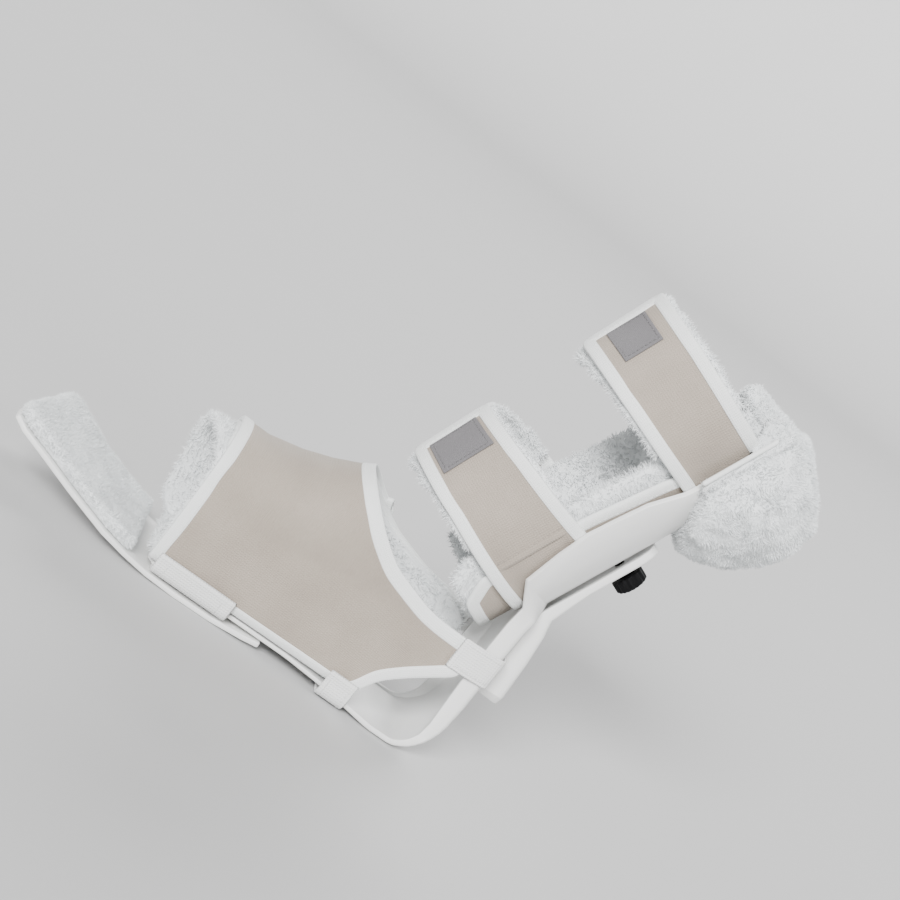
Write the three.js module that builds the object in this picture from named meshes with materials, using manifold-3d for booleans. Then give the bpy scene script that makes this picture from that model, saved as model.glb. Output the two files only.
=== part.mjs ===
// Foot brace: a white moulded shell with a bowed heel and a calf trough, a toe plate under its sole,
// a fleece-lined instep wrap, two calf straps, a folded fleece cuff and a swinging bar on its back.
// Millimetres, +Z up, toes towards -X, the outer side of the foot towards -Y, standing on its sole.
import * as THREE from 'three';
import { mergeVertices } from 'three/addons/utils/BufferGeometryUtils.js';
import Module from 'manifold-3d';

const wasm = await Module();
wasm.setup();

// Gaps between pieces
const CLEARANCE = 0.35;
const SOFT_GAP = 0.5;

// Shell
const SHELL_WALL = 3.2;
const PLATE_LENGTH = 170;
const PLATE_WIDTH = 74;
const PLATE_RISE = 7;
const ANKLE_HEIGHT = 111;
const STRIP_SETBACK = 25;
const STRIP_WIDTH = 70;
const STRIP_TAPER_TOP = 0.55;
const FLANGE_DEPTH = 10;
const CALF_LEAN = 22;
const CALF_OFFSET = 28;
const TROUGH_START = 5;
const SHELL_TOP = 158;
const WING_REACH = 36;

// Room for the leg inside the calf part
const LEG_DEPTH_LOW = 82;
const LEG_DEPTH_HIGH = 88;
const LEG_WIDTH_LOW = 72;
const LEG_WIDTH_HIGH = 83;

// Cloth layers
const PILE = 8;
const LAMINATE = 2.6;
const STRAP_WALL = 2.4;
const BINDING = 7.5;
const BINDING_PROUD = 0.7;
const SHIN_PILE = 5;
const SHIN_SPILL = 1.5;
const FLEECE_INSET = 1;
const FLAP_INSET = 1;

// Calf liner
const LINER_EDGE = 43;
const LINER_LOW = -36;
const LINER_LOW_SIDE = -32;
const FLEECE_SPILL = 10;

// Calf straps
const STRAP_HIDDEN_ANGLE = 28;
const STRAP_END_ANGLE = 178;
const FLAP_END_ANGLE = 138;
const STRAP_CORNER = 9;
const STRAP_STEP_ANGLE = 10;
const STRAP_LIFT_ANGLES = [24, 6];
const TAB_LENGTH = 24;
const TAB_WIDTH = 25;
const TAB_WALL = 0.8;
const TAB_SETBACK = 4;
const LOWER_STRAP_AT = 6;
const LOWER_STRAP_WIDTH = 44;
const UPPER_STRAP_AT = 121;
const UPPER_STRAP_WIDTH = 53;

// Fleece cuff folded over the top of the shell
const CUFF_BOTTOM = 84;
const CUFF_TOP = 177;
const CUFF_HEM_ANGLE = 56;
const CUFF_HEM_RISE = 28;
const CUFF_FLARE = 44;
const CUFF_PILE = 14;
const CUFF_HEM = 5;
const CUFF_SIDE_DROP = 6;
const CUFF_HEM_CURVE = 1.6;
const CUFF_FLARE_CURVE = 0.8;
const CUFF_FOLD = 4;
const CUFF_LAP = 1;
const CUFF_SEAT_DROP = 3;
const TUFT = 2.2;
const TUFT_CALM = 0.3;

// Foot cavity and the wrap round it
const FOOT_PILE = 6;
const CAVITY_WIDTH = 66;
const CAVITY_HEIGHT = 67;
const SPRING_HEIGHT = 40;
const SOLE_END = 42;
const WRAP_LEAD = 1;
const FLAP_LEAD = 2;
const FLEECE_LEAD = 15;
const FLEECE_LEAD_ANGLE = 45;
const WRAP_BACK = 9;
const WRAP_FOOT = 11;
const WRAP_FAR_ANGLE = 150;
const FLAP_NEAR_ANGLE = 55;
const WRAP_LIFT_ANGLES = [20, 10];
const WRAP_END_BAND = 8;
const WRAP_END_ROOM = 4;
const RIM_HEIGHT = 77;
const CREST_HEIGHT = 118;
const HEEL_CUT_TOP = 57;
const HEEL_CUT_DROP = 3;
const RIM_START = 0.62;
const RIM_STEPS = 240;
const BENEATH_SHARE = 0.6;

// Toe plate and pad
const TOE_PLATE_WALL = 3;
const TOE_PLATE_REACH = 106;
const TOE_RISE = 36;
const TOE_SKEW = 10;
const TOE_WIDTH = 82;
const TOE_PAD_PILE = 6;
const TOE_PAD_GAP = 10;
const TOE_PAD_MARGIN = 1;
const TOE_PAD_DISH = 1.5;

// White webbing round the plate and the strip
const WEBBING = 1.5;
const WEBBING_RISE = 20;
const WEBBING_LAP = 4;
const WEBBING_CHAMFER = 3;
const WEBBING_CORNER = 4;
const FRONT_WEB_SETBACK = 29;
const FRONT_WEB_WIDTH = 50;
const REAR_WEB_AT = 42;
const REAR_WEB_WIDTH = 18;
const HEEL_WEB_AT = 69;
const HEEL_WEB_WIDTH = 20;
const HEEL_WEB_ANGLE = 10;

// Rivet between the plates
const RIVET_RADIUS = 4;
const RIVET_SETBACK = 66;

// Swinging bar and its knob
const BAR_WIDTH = 36;
const BAR_WALL = 3;
const BAR_TOP = 73;
const BAR_PIVOT = 50;
const BAR_BOTTOM = 49;
const BAR_DEPTH = 15;
const BAR_SEAT = 6;
const STUD_RADIUS = 3;
const KNOB_RADIUS = 9.8;
const KNOB_THICKNESS = 8;
const KNOB_BEVEL = 0.8;
const KNOB_NECK = 4;
const KNOB_NECK_RADIUS = 5.4;
const KNOB_SINK = 0.5;
const KNOB_RIBS = 18;
const KNOB_GROOVE = 0.7;
const ROUND_SIDES = 16;

const radians = THREE.MathUtils.degToRad;
const degrees = THREE.MathUtils.radToDeg;
const lerp = THREE.MathUtils.lerp;
const smoothstep = THREE.MathUtils.smoothstep;

const wrapFront = PLATE_LENGTH + WRAP_LEAD;
const flapFront = PLATE_LENGTH + FLAP_LEAD;
const toePlateTip = PLATE_LENGTH + TOE_PLATE_REACH;
const toePadBack = PLATE_LENGTH + TOE_PAD_GAP;
const frontWebAt = PLATE_LENGTH - FRONT_WEB_SETBACK;
const rivetAt = PLATE_LENGTH - RIVET_SETBACK;

// Value of a table at x, straight between its rows
function readTable(table, column, x, key = 'at') {
  const last = table.length - 1;
  if (x <= table[0][key]) return table[0][column];
  if (x >= table[last][key]) return table[last][column];
  const next = table.findIndex((row) => row[key] >= x);
  const a = table[next - 1];
  const b = table[next];
  return lerp(a[column], b[column], (x - a[key]) / (b[key] - a[key]));
}

// Evenly spaced values from a to b, both included
function steps(a, b, count) {
  return Array.from({ length: count + 1 }, (_, i) => lerp(a, b, i / count));
}

// Closed solid from points and triangles, turned so that its faces point out
function solid(points, faces) {
  let volume = 0;
  for (const [a, b, c] of faces) {
    volume += points[a].dot(new THREE.Vector3().crossVectors(points[b], points[c]));
  }
  const turned = volume < 0 ? faces.map(([a, b, c]) => [a, c, b]) : faces;
  const geometry = new THREE.BufferGeometry();
  const flat = points.flatMap((p) => p.toArray());
  geometry.setAttribute('position', new THREE.Float32BufferAttribute(flat, 3));
  geometry.setIndex(turned.flat());
  const loose = geometry.toNonIndexed();
  loose.computeVertexNormals();
  return loose;
}

// Wall between two grids of points; cells that keep() turns down are left out of it
function wall(outer, inner, keep = () => true, closed = false) {
  const rows = outer.length;
  const columns = outer[0].length;
  const cellColumns = closed ? columns : columns - 1;
  const points = [...outer.flat(), ...inner.flat()];
  const shift = rows * columns;
  const id = (i, j) => i * columns + (j % columns);
  const has = (i, j) => {
    if (i < 0 || i >= rows - 1) return false;
    if (closed) return keep(i, (j + columns) % columns);
    return j >= 0 && j < columns - 1 && keep(i, j);
  };
  const faces = [];
  const quad = (a, b, c, d) => faces.push([a, b, c], [a, c, d]);
  for (let i = 0; i < rows - 1; i++) {
    for (let j = 0; j < cellColumns; j++) {
      if (!has(i, j)) continue;
      const a = id(i, j);
      const b = id(i + 1, j);
      const c = id(i + 1, j + 1);
      const d = id(i, j + 1);
      quad(a, b, c, d);
      quad(a + shift, d + shift, c + shift, b + shift);
      if (!has(i - 1, j)) quad(a, d, d + shift, a + shift);
      if (!has(i + 1, j)) quad(c, b, b + shift, c + shift);
      if (!has(i, j - 1)) quad(b, a, a + shift, b + shift);
      if (!has(i, j + 1)) quad(d, c, c + shift, d + shift);
    }
  }
  return solid(points, faces);
}

// Solid through closed rings of points, its two ends capped by the outline seen flat
function loft(rings, outline) {
  const count = rings[0].length;
  const points = rings.flat();
  const faces = [];
  for (let i = 0; i < rings.length - 1; i++) {
    for (let j = 0; j < count; j++) {
      const a = i * count + j;
      const b = i * count + ((j + 1) % count);
      faces.push([a, a + count, b + count], [a, b + count, b]);
    }
  }
  const first = THREE.ShapeUtils.triangulateShape(outline(0), []);
  const last = THREE.ShapeUtils.triangulateShape(outline(rings.length - 1), []);
  const clockwise = THREE.ShapeUtils.isClockWise(outline(0));
  const end = (rings.length - 1) * count;
  const turn = ([a, b, c], turned) => (turned ? [a, c, b] : [a, b, c]);
  for (const face of first) faces.push(turn(face, clockwise));
  for (const face of last) faces.push(turn(face.map((k) => k + end), !clockwise));
  return solid(points, faces);
}

// Library solid of a geometry, and the geometry of a library solid
const WELD = 1e-4;
function toManifold(geometry) {
  const bare = geometry.clone();
  bare.deleteAttribute('normal');
  bare.deleteAttribute('uv');
  const merged = mergeVertices(bare, WELD);
  return new wasm.Manifold(new wasm.Mesh({
    numProp: 3,
    vertProperties: new Float32Array(merged.attributes.position.array),
    triVerts: new Uint32Array(merged.index.array),
  }));
}

function fromManifold(body) {
  const mesh = body.getMesh();
  const geometry = new THREE.BufferGeometry();
  geometry.setAttribute('position', new THREE.Float32BufferAttribute(mesh.vertProperties, 3));
  geometry.setIndex(new THREE.Uint32BufferAttribute(mesh.triVerts, 1));
  geometry.computeVertexNormals();
  return geometry;
}

// Calf frame: height along the leaning calf, forward from the back of the shell, and side
const lean = radians(CALF_LEAN);
const alongCalf = new THREE.Vector3(Math.sin(lean), 0, Math.cos(lean));
const forward = new THREE.Vector3(-Math.cos(lean), 0, Math.sin(lean));
const calfOrigin = new THREE.Vector3(CALF_OFFSET, 0, ANKLE_HEIGHT);

function calfFrame(height, ahead, side) {
  return calfOrigin.clone()
    .addScaledVector(alongCalf, height)
    .addScaledVector(forward, ahead)
    .add(new THREE.Vector3(0, side, 0));
}

// Layers round the leg, from the leg outwards
const fleeceOut = PILE;
const linerIn = fleeceOut + CLEARANCE;
const linerOut = linerIn + LAMINATE;
const strapIn = linerOut + CLEARANCE;
const strapOut = strapIn + STRAP_WALL;
const shellIn = strapOut + CLEARANCE + BINDING_PROUD;
const shellOut = shellIn + SHELL_WALL;

function legHalfWidth(height) {
  return lerp(LEG_WIDTH_LOW, LEG_WIDTH_HIGH, height / SHELL_TOP) / 2;
}

function legHalfDepth(height) {
  return lerp(LEG_DEPTH_LOW, LEG_DEPTH_HIGH, height / SHELL_TOP) / 2;
}

// Point round the calf: angle 0 is the back, 90 the outer side, 180 the shin
function calfPoint(height, angle, layer) {
  const half = legHalfDepth(height);
  const ahead = shellOut + half - (half + layer) * Math.cos(radians(angle));
  const side = -(legHalfWidth(height) + layer) * Math.sin(radians(angle));
  return calfFrame(height, ahead, side);
}

// Angle at which a layer round the calf is so far ahead of the back of the shell
function angleAhead(height, ahead, layer) {
  const half = legHalfDepth(height);
  return degrees(Math.acos((shellOut + half - ahead) / (half + layer)));
}

// Trough swept along rows, each with a point, a depth direction and its own section
const TROUGH_HALF = 7;
function trough(rows, thickness) {
  const outer = rows.map((row) => troughSection(row, 0));
  const inner = rows.map((row) => troughSection(row, thickness));
  return wall(outer, inner);
}

function troughSection(row, inset) {
  const width = row.halfWidth - inset;
  const depth = row.depth - (row.spread < 90 ? inset : 0);
  const power = 2 / row.square;
  return steps(-1, 1, 2 * TROUGH_HALF).map((share) => {
    const angle = radians(row.spread * Math.abs(share));
    const side = width * Math.sin(angle) ** power;
    const sunk = depth * (1 - Math.max(Math.cos(angle), 0) ** power);
    const reach = row.spread < 90 ? inset + sunk : Math.max(sunk, inset);
    return row.at.clone()
      .addScaledVector(row.inward, reach)
      .add(new THREE.Vector3(0, -Math.sign(share) * side, 0));
  });
}

// Depth directions of a side profile, square to it and turned to the given side
function inwardOf(points, turn) {
  return points.map((_, i) => {
    const a = points[Math.max(i - 1, 0)];
    const b = points[Math.min(i + 1, points.length - 1)];
    const along = b.clone().sub(a).normalize();
    return new THREE.Vector3(-along.z * turn, 0, along.x * turn);
  });
}

// Sole, bowed heel and upright strip of the shell: ahead as shares of the plate's length or, behind
// the heel, of the strip's setback; up as shares of the plate's rise or of the ankle's height
const SOLE_PROFILE = [
  { ahead: 1, up: 1, width: 0.78, flange: 0 },
  { ahead: 0.975, up: 1, width: 0.95, flange: 0 },
  { ahead: 0.93, up: 1, width: 1, flange: 0 },
  { ahead: 0.45, up: 1, width: 1, flange: 0 },
  { ahead: 0.32, up: 0.8, width: 1, flange: 0 },
  { ahead: 0.22, up: 0.5, width: 1, flange: 0.02 },
  { ahead: 0.13, up: 0.17, width: 1, flange: 0.08 },
  { ahead: 0.1, up: 0.06, width: 1, flange: 0.09 },
  { ahead: 0.07, up: 0, width: 1, flange: 0.1 },
  { ahead: 0, up: 0, width: 1, flange: 0.12 },
];
const HEEL_PROFILE = [
  { back: 0.18, up: 0.007, flange: 0.16 },
  { back: 0.34, up: 0.025, flange: 0.2 },
  { back: 0.49, up: 0.046, flange: 0.27 },
  { back: 0.62, up: 0.075, flange: 0.35 },
  { back: 0.745, up: 0.109, flange: 0.47 },
  { back: 0.84, up: 0.15, flange: 0.6 },
  { back: 0.915, up: 0.198, flange: 0.7 },
  { back: 0.96, up: 0.25, flange: 0.8 },
  { back: 1.0, up: 0.38, flange: 0.95 },
  { back: 1.0, up: 0.55, flange: 1 },
  { back: 1.0, up: 0.72, flange: 1 },
  { back: 1.01, up: 0.88, flange: 1 },
];
// Wing edge of the trough: at as shares of the shell's top height, reach of the wing's reach
const WING_EDGE = [
  { at: 0.03, reach: 0.8 },
  { at: 0.17, reach: 0.93 },
  { at: 0.3, reach: 1 },
  { at: 0.42, reach: 0.97 },
  { at: 0.53, reach: 0.93 },
  { at: 0.66, reach: 0.76 },
  { at: 0.85, reach: 0.7 },
  { at: 1, reach: 0.55 },
];
const SQUARE_CORNER = 7;

function shellRows() {
  const flangeOf = (row) => row.flange * FLANGE_DEPTH + SHELL_WALL;
  const sole = SOLE_PROFILE.map((row) => ({
    at: new THREE.Vector3(-row.ahead * PLATE_LENGTH, 0, row.up * PLATE_RISE),
    halfWidth: row.width * PLATE_WIDTH / 2,
    depth: flangeOf(row),
    square: SQUARE_CORNER,
    spread: 90,
  }));
  const heel = HEEL_PROFILE.map((row) => ({
    at: new THREE.Vector3(row.back * STRIP_SETBACK, 0, row.up * ANKLE_HEIGHT),
    halfWidth: lerp(PLATE_WIDTH, STRIP_WIDTH, Math.min(row.up / STRIP_TAPER_TOP, 1)) / 2,
    depth: flangeOf(row),
    square: SQUARE_CORNER,
    spread: 90,
  }));
  const ankle = {
    at: calfFrame(-TROUGH_START, 0, 0),
    halfWidth: STRIP_WIDTH / 2,
    depth: FLANGE_DEPTH + SHELL_WALL,
    square: SQUARE_CORNER,
    spread: 90,
  };
  const calf = WING_EDGE.map((row) => {
    const height = row.at * SHELL_TOP;
    return {
      at: calfFrame(height, 0, 0),
      halfWidth: legHalfWidth(height) + shellOut,
      depth: legHalfDepth(height) + shellOut,
      square: 2,
      spread: angleAhead(height, row.reach * WING_REACH, shellOut),
    };
  });
  const rows = [...sole, ...heel, ankle, ...calf];
  const inward = inwardOf(rows.map((row) => row.at), 1);
  const bend = sole.length + heel.length;
  return rows.map((row, i) => ({ ...row, inward: i > bend ? forward : inward[i] }));
}

// Round stud through the back of the shell and the bar, along the depth of the calf
function studBore(radius) {
  const length = 2 * (BAR_SEAT + BAR_WALL + SHELL_WALL);
  const bore = new THREE.CylinderGeometry(radius, radius, length, ROUND_SIDES);
  bore.rotateZ(Math.PI / 2);
  bore.rotateY(lean);
  const middle = calfFrame(BAR_PIVOT, 0, 0);
  bore.translate(middle.x, middle.y, middle.z);
  return bore;
}

function shellGeometry() {
  const body = toManifold(trough(shellRows(), SHELL_WALL));
  const bore = toManifold(studBore(STUD_RADIUS + CLEARANCE));
  return fromManifold(body.subtract(bore));
}

// Swinging bar: back line of the bar from its top down along the calf, then behind the strip with
// its setback as shares of the bar's depth and up as shares of the way from its foot to the ankle
const BAR_UPPER = [
  { down: 0, width: 0.62 },
  { down: 4, width: 0.88 },
  { down: 10, width: 1 },
  { down: 23, width: 1 },
  { down: 45, width: 1 },
];
const BAR_LOWER = [
  { up: 0.97, back: 0.78, width: 1 },
  { up: 0.8, back: 0.95, width: 1 },
  { up: 0.5, back: 1.1, width: 1 },
  { up: 0.1, back: 1.22, width: 0.95 },
  { up: 0, back: 1.2, width: 0.7 },
];

function barRows() {
  const upper = BAR_UPPER.map((row) => ({
    at: calfFrame(BAR_TOP - row.down, -BAR_SEAT, 0),
    halfWidth: row.width * BAR_WIDTH / 2,
    depth: BAR_SEAT - CLEARANCE,
  }));
  const gap = WEBBING + 2 * CLEARANCE + SOFT_GAP;
  const lower = BAR_LOWER.map((row) => {
    const setback = row.back * BAR_DEPTH;
    return {
      at: new THREE.Vector3(STRIP_SETBACK + setback, 0, lerp(BAR_BOTTOM, ANKLE_HEIGHT, row.up)),
      halfWidth: row.width * BAR_WIDTH / 2,
      depth: setback - gap,
    };
  });
  const rows = [...upper, ...lower].map((row) => ({ ...row, square: SQUARE_CORNER, spread: 90 }));
  const inward = inwardOf(rows.map((row) => row.at), -1);
  return rows.map((row, i) => ({ ...row, inward: i < upper.length - 1 ? forward : inward[i] }));
}

function barGeometry() {
  const body = toManifold(trough(barRows(), BAR_WALL));
  const bore = toManifold(studBore(STUD_RADIUS + CLEARANCE));
  return fromManifold(body.subtract(bore));
}

// Knob: a ribbed head, a neck and the stud that reaches through the bar and the shell
function knobGeometry() {
  const ribbed = new THREE.Shape();
  const sides = KNOB_RIBS * 2;
  const outline = Array.from({ length: sides }, (_, i) => {
    const radius = i % 2 ? KNOB_RADIUS : KNOB_RADIUS - KNOB_GROOVE;
    const angle = 2 * Math.PI * i / sides;
    return new THREE.Vector2(radius * Math.cos(angle), radius * Math.sin(angle));
  });
  ribbed.setFromPoints(outline);
  const head = new THREE.ExtrudeGeometry(ribbed, {
    depth: KNOB_THICKNESS - 2 * KNOB_BEVEL,
    bevelSize: KNOB_BEVEL,
    bevelThickness: KNOB_BEVEL,
    bevelOffset: -KNOB_BEVEL,
    bevelSegments: 1,
  });
  head.translate(0, 0, KNOB_BEVEL);
  const shaft = (radius, reach) => {
    const round = new THREE.CylinderGeometry(radius, radius, reach, ROUND_SIDES);
    round.rotateX(Math.PI / 2);
    round.translate(0, 0, KNOB_THICKNESS - KNOB_SINK + reach / 2);
    return round;
  };
  const neck = shaft(KNOB_NECK_RADIUS, KNOB_NECK + KNOB_SINK);
  const stud = shaft(STUD_RADIUS, KNOB_NECK + BAR_SEAT + SHELL_WALL);
  const joined = toManifold(head).add(toManifold(neck)).add(toManifold(stud));
  const geometry = fromManifold(joined);
  const seat = calfFrame(BAR_PIVOT, -BAR_SEAT - CLEARANCE - KNOB_NECK - KNOB_THICKNESS, 0);
  const turn = new THREE.Matrix4().makeBasis(alongCalf, new THREE.Vector3(0, 1, 0), forward);
  geometry.applyMatrix4(turn.setPosition(seat));
  return geometry;
}

// Calf liner: share -1 to 1 across, its bound edge drawn by LINER_EDGE, its foot end lower at the back
const LINER_COLUMNS = 16;
const LINER_RISES = [0, 0.05, 0.1, 0.19, 0.3, 0.43, 0.55, 0.67, 0.8, 0.92, 1];
const LINER_EDGES = [
  { at: -0.23, edge: 0.68, spill: 1.6 },
  { at: -0.11, edge: 0.97, spill: 1.4 },
  { at: 0, edge: 1, spill: 1 },
  { at: 0.3, edge: 1.02, spill: 1 },
  { at: 0.6, edge: 0.91, spill: 1 },
  { at: 0.75, edge: 0.82, spill: 0.7 },
  { at: 0.9, edge: 0.6, spill: 0 },
  { at: 1, edge: 0.5, spill: 0 },
];

function linerEdgeAngle(height, layer, spill = 0) {
  const share = readTable(LINER_EDGES, 'edge', height / SHELL_TOP);
  const over = readTable(LINER_EDGES, 'spill', height / SHELL_TOP) * spill;
  return angleAhead(height, share * LINER_EDGE + over, layer);
}

function linerLow(share, inset = 0) {
  return lerp(LINER_LOW, LINER_LOW_SIDE, share * share) + inset;
}

function linerGrid(layer, edgeInset, lowInset, spill = 0) {
  const columns = steps(-1, 1, LINER_COLUMNS);
  return LINER_RISES.map((rise) => columns.map((share) => {
    const height = lerp(linerLow(share, lowInset), SHELL_TOP, rise);
    const edge = linerEdgeAngle(height, linerOut, spill) - edgeInset;
    return calfPoint(height, share * edge, layer);
  }));
}

// Angle that a length takes up round the outside of the calf
function angleOf(length) {
  return degrees(length / (LEG_DEPTH_LOW / 2 + linerOut));
}

function linerGeometry() {
  const inset = angleOf(BINDING + CLEARANCE);
  const lift = BINDING + CLEARANCE;
  return wall(linerGrid(linerOut, inset, lift), linerGrid(linerIn, inset, lift));
}

function calfFleeceGeometry() {
  return wall(
    linerGrid(fleeceOut - CLEARANCE, 0, FLEECE_INSET, FLEECE_SPILL),
    linerGrid(0, 0, FLEECE_INSET, FLEECE_SPILL),
  );
}

function calfBindingGeometry() {
  const band = angleOf(BINDING);
  const shares = steps(-1, 1, LINER_COLUMNS);
  const grid = (layer) => [null, ...LINER_RISES].map((rise) => {
    const place = (share, inset) => {
      const low = linerLow(share, rise === null ? 0 : BINDING);
      const height = lerp(low, SHELL_TOP, rise ?? 0);
      return calfPoint(height, share * (linerEdgeAngle(height, linerOut) - inset), layer);
    };
    return [place(-1, 0), ...shares.map((share) => place(share, band)), place(1, 0)];
  });
  const last = LINER_COLUMNS + 1;
  return wall(grid(linerOut), grid(linerIn), (i, j) => i === 0 || j === 0 || j === last);
}

// Calf strap: foot and knee edges round the leg, as shares of the strap's width from its middle
const STRAP_COURSE = {
  lower: [
    { at: 0, foot: -0.42, knee: 0.93 },
    { at: 60, foot: -0.42, knee: 0.93 },
    { at: 110, foot: -0.42, knee: 0.8 },
    { at: 150, foot: -0.46, knee: 0.68 },
    { at: 180, foot: -0.5, knee: 0.6 },
  ],
  upper: [
    { at: 0, foot: -0.34, knee: 0.58 },
    { at: 60, foot: -0.34, knee: 0.58 },
    { at: 110, foot: -0.4, knee: 0.56 },
    { at: 150, foot: -0.46, knee: 0.52 },
    { at: 180, foot: -0.5, knee: 0.5 },
  ],
};

// How far the outer strap rises over the flap beneath it
function overlapLift(angle) {
  const [start, end] = STRAP_LIFT_ANGLES.map((before) => FLAP_END_ANGLE - before);
  return smoothstep(angle, start, end) * (STRAP_WALL + CLEARANCE);
}

function strapPoint(strap, angle, across, layer, inset = 0) {
  const around = Math.min(Math.abs(angle), 360 - Math.abs(angle));
  const foot = strap.at + readTable(strap.course, 'foot', around) * strap.width + inset;
  const knee = strap.at + readTable(strap.course, 'knee', around) * strap.width - inset;
  return calfPoint(lerp(foot, knee, across), angle, layer);
}

const STRAPS = [
  { name: 'lower', at: LOWER_STRAP_AT, width: LOWER_STRAP_WIDTH, course: STRAP_COURSE.lower },
  { name: 'upper', at: UPPER_STRAP_AT, width: UPPER_STRAP_WIDTH, course: STRAP_COURSE.upper },
];

function strapAngles(first, last) {
  const count = Math.ceil(Math.abs(last - first) / STRAP_STEP_ANGLE);
  return steps(first, last, count);
}

// The end of the strap is drawn in towards its corners, by a round of STRAP_CORNER
function cornerDraw(acrossLength, width) {
  const near = Math.min(acrossLength, width - acrossLength);
  if (near >= STRAP_CORNER) return 0;
  const gap = STRAP_CORNER - near;
  return STRAP_CORNER - Math.sqrt(STRAP_CORNER ** 2 - gap ** 2);
}

function strapGeometry(strap) {
  const inset = BINDING + CLEARANCE;
  const last = STRAP_END_ANGLE - angleOf(inset);
  const grid = (layer) => strapAngles(STRAP_HIDDEN_ANGLE, last).map((angle) => {
    const lifted = layer + overlapLift(angle);
    return steps(0, 1, 2).map((across) => strapPoint(strap, angle, across, lifted, inset));
  });
  return wall(grid(strapOut), grid(strapIn));
}

function strapBindingGeometry(strap) {
  const last = STRAP_END_ANGLE - angleOf(BINDING);
  const angles = [...strapAngles(STRAP_HIDDEN_ANGLE, last), STRAP_END_ANGLE];
  const end = angles.length - 1;
  const lines = [0, BINDING / 2, BINDING];
  const marks = [...lines, ...lines.map((line) => strap.width - line).reverse()];
  const grid = (layer) => angles.map((angle, i) => marks.map((mark, k) => {
    const half = k < lines.length ? mark : strap.width - mark;
    const draw = i === end ? angleOf(cornerDraw(mark, strap.width)) : 0;
    const across = k < lines.length ? 0 : 1;
    const at = angle - draw;
    return strapPoint(strap, at, across, layer + overlapLift(at), half);
  }));
  const middle = lines.length - 1;
  return wall(
    grid(strapOut + BINDING_PROUD),
    grid(strapIn),
    (i, j) => j !== middle || i === end - 1,
  );
}

function strapTabGeometry(strap) {
  const start = STRAP_END_ANGLE - angleOf(BINDING + TAB_SETBACK + TAB_LENGTH);
  const end = STRAP_END_ANGLE - angleOf(BINDING + TAB_SETBACK);
  const inset = (strap.width - TAB_WIDTH) / 2;
  const seat = strapOut + CLEARANCE;
  const grid = (layer) => steps(start, end, 3).map((angle) => (
    [0, 1].map((across) => strapPoint(strap, angle, across, layer + overlapLift(angle), inset))
  ));
  return wall(grid(seat + TAB_WALL), grid(seat));
}

function strapFlapGeometry(strap) {
  const grid = (layer) => strapAngles(360 - STRAP_HIDDEN_ANGLE, FLAP_END_ANGLE).map((angle) => (
    [0, 1].map((across) => strapPoint(strap, angle, across, layer, FLAP_INSET))
  ));
  return wall(grid(strapOut), grid(strapIn));
}

function shinFleeceGeometry(strap) {
  const foot = strap.at - strap.width / 2;
  const start = linerEdgeAngle(foot, linerOut, FLEECE_SPILL) + angleOf(SHIN_PILE);
  const outer = strapIn - CLEARANCE;
  const grid = (layer) => strapAngles(start, 360 - start).map((angle) => (
    [0, 1].map((across) => strapPoint(strap, angle, across, layer, -SHIN_SPILL))
  ));
  return wall(grid(outer), grid(outer - SHIN_PILE));
}

// Fleece cuff: rows from its hanging edge up to the fold, up as shares of its height and out as
// shares of its flare
const CUFF_PROFILE = [
  { up: 0, out: 0.3 },
  { up: 0.03, out: 0.46 },
  { up: 0.17, out: 0.72 },
  { up: 0.36, out: 0.93 },
  { up: 0.52, out: 1 },
  { up: 0.65, out: 0.97 },
  { up: 0.76, out: 0.86 },
  { up: 0.87, out: 0.55 },
  { up: 0.95, out: 0.15 },
  { up: 1, out: -0.16 },
];
const CUFF_SECTIONS = 18;

// Tuft of the fleece at a section and a row, from -1 to 1
function tuft(section, row) {
  return Math.sin(2.3 * section + 1.7 * row) * Math.cos(1.1 * section - 2.9 * row);
}

function cuffSection(index) {
  const share = 2 * index / CUFF_SECTIONS - 1;
  const away = Math.abs(share);
  const angle = share * CUFF_HEM_ANGLE;
  const bottom = CUFF_BOTTOM + CUFF_HEM_RISE * away ** CUFF_HEM_CURVE;
  const top = CUFF_TOP - CUFF_SIDE_DROP * away;
  const seat = shellOut + CLEARANCE;
  const hem = seat + CUFF_HEM;
  const flare = Math.cos(away * Math.PI / 2) ** CUFF_FLARE_CURVE;
  const outer = CUFF_PROFILE.map((row, k) => {
    const lump = TUFT * tuft(index, k) * lerp(TUFT_CALM, 1, flare);
    const full = shellOut + row.out * CUFF_FLARE;
    const out = lerp(Math.min(full, hem), full, flare) + lump;
    return { height: lerp(bottom, top, row.up), layer: out };
  });
  const inside = outer
    .filter((point) => point.height < SHELL_TOP - CUFF_SEAT_DROP)
    .map((point) => ({
      height: point.height + SOFT_GAP,
      layer: Math.max(seat, point.layer - CUFF_PILE),
    }))
    .reverse();
  const fold = [
    { height: top - CUFF_FOLD, layer: CUFF_LAP },
    { height: SHELL_TOP + SOFT_GAP, layer: CUFF_LAP },
    { height: SHELL_TOP + SOFT_GAP, layer: seat },
  ];
  return { angle, loop: [...outer, ...fold, ...inside] };
}

function cuffGeometry() {
  const sections = steps(0, CUFF_SECTIONS, CUFF_SECTIONS).map(cuffSection);
  const count = Math.min(...sections.map((section) => section.loop.length));
  const rings = sections.map(({ angle, loop }) => (
    loop.slice(0, count).map((point) => calfPoint(point.height, angle, point.layer))
  ));
  const outline = (i) => sections[i === 0 ? 0 : sections.length - 1].loop
    .slice(0, count)
    .map((point) => new THREE.Vector2(point.height, point.layer));
  return loft(rings, outline);
}

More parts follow.
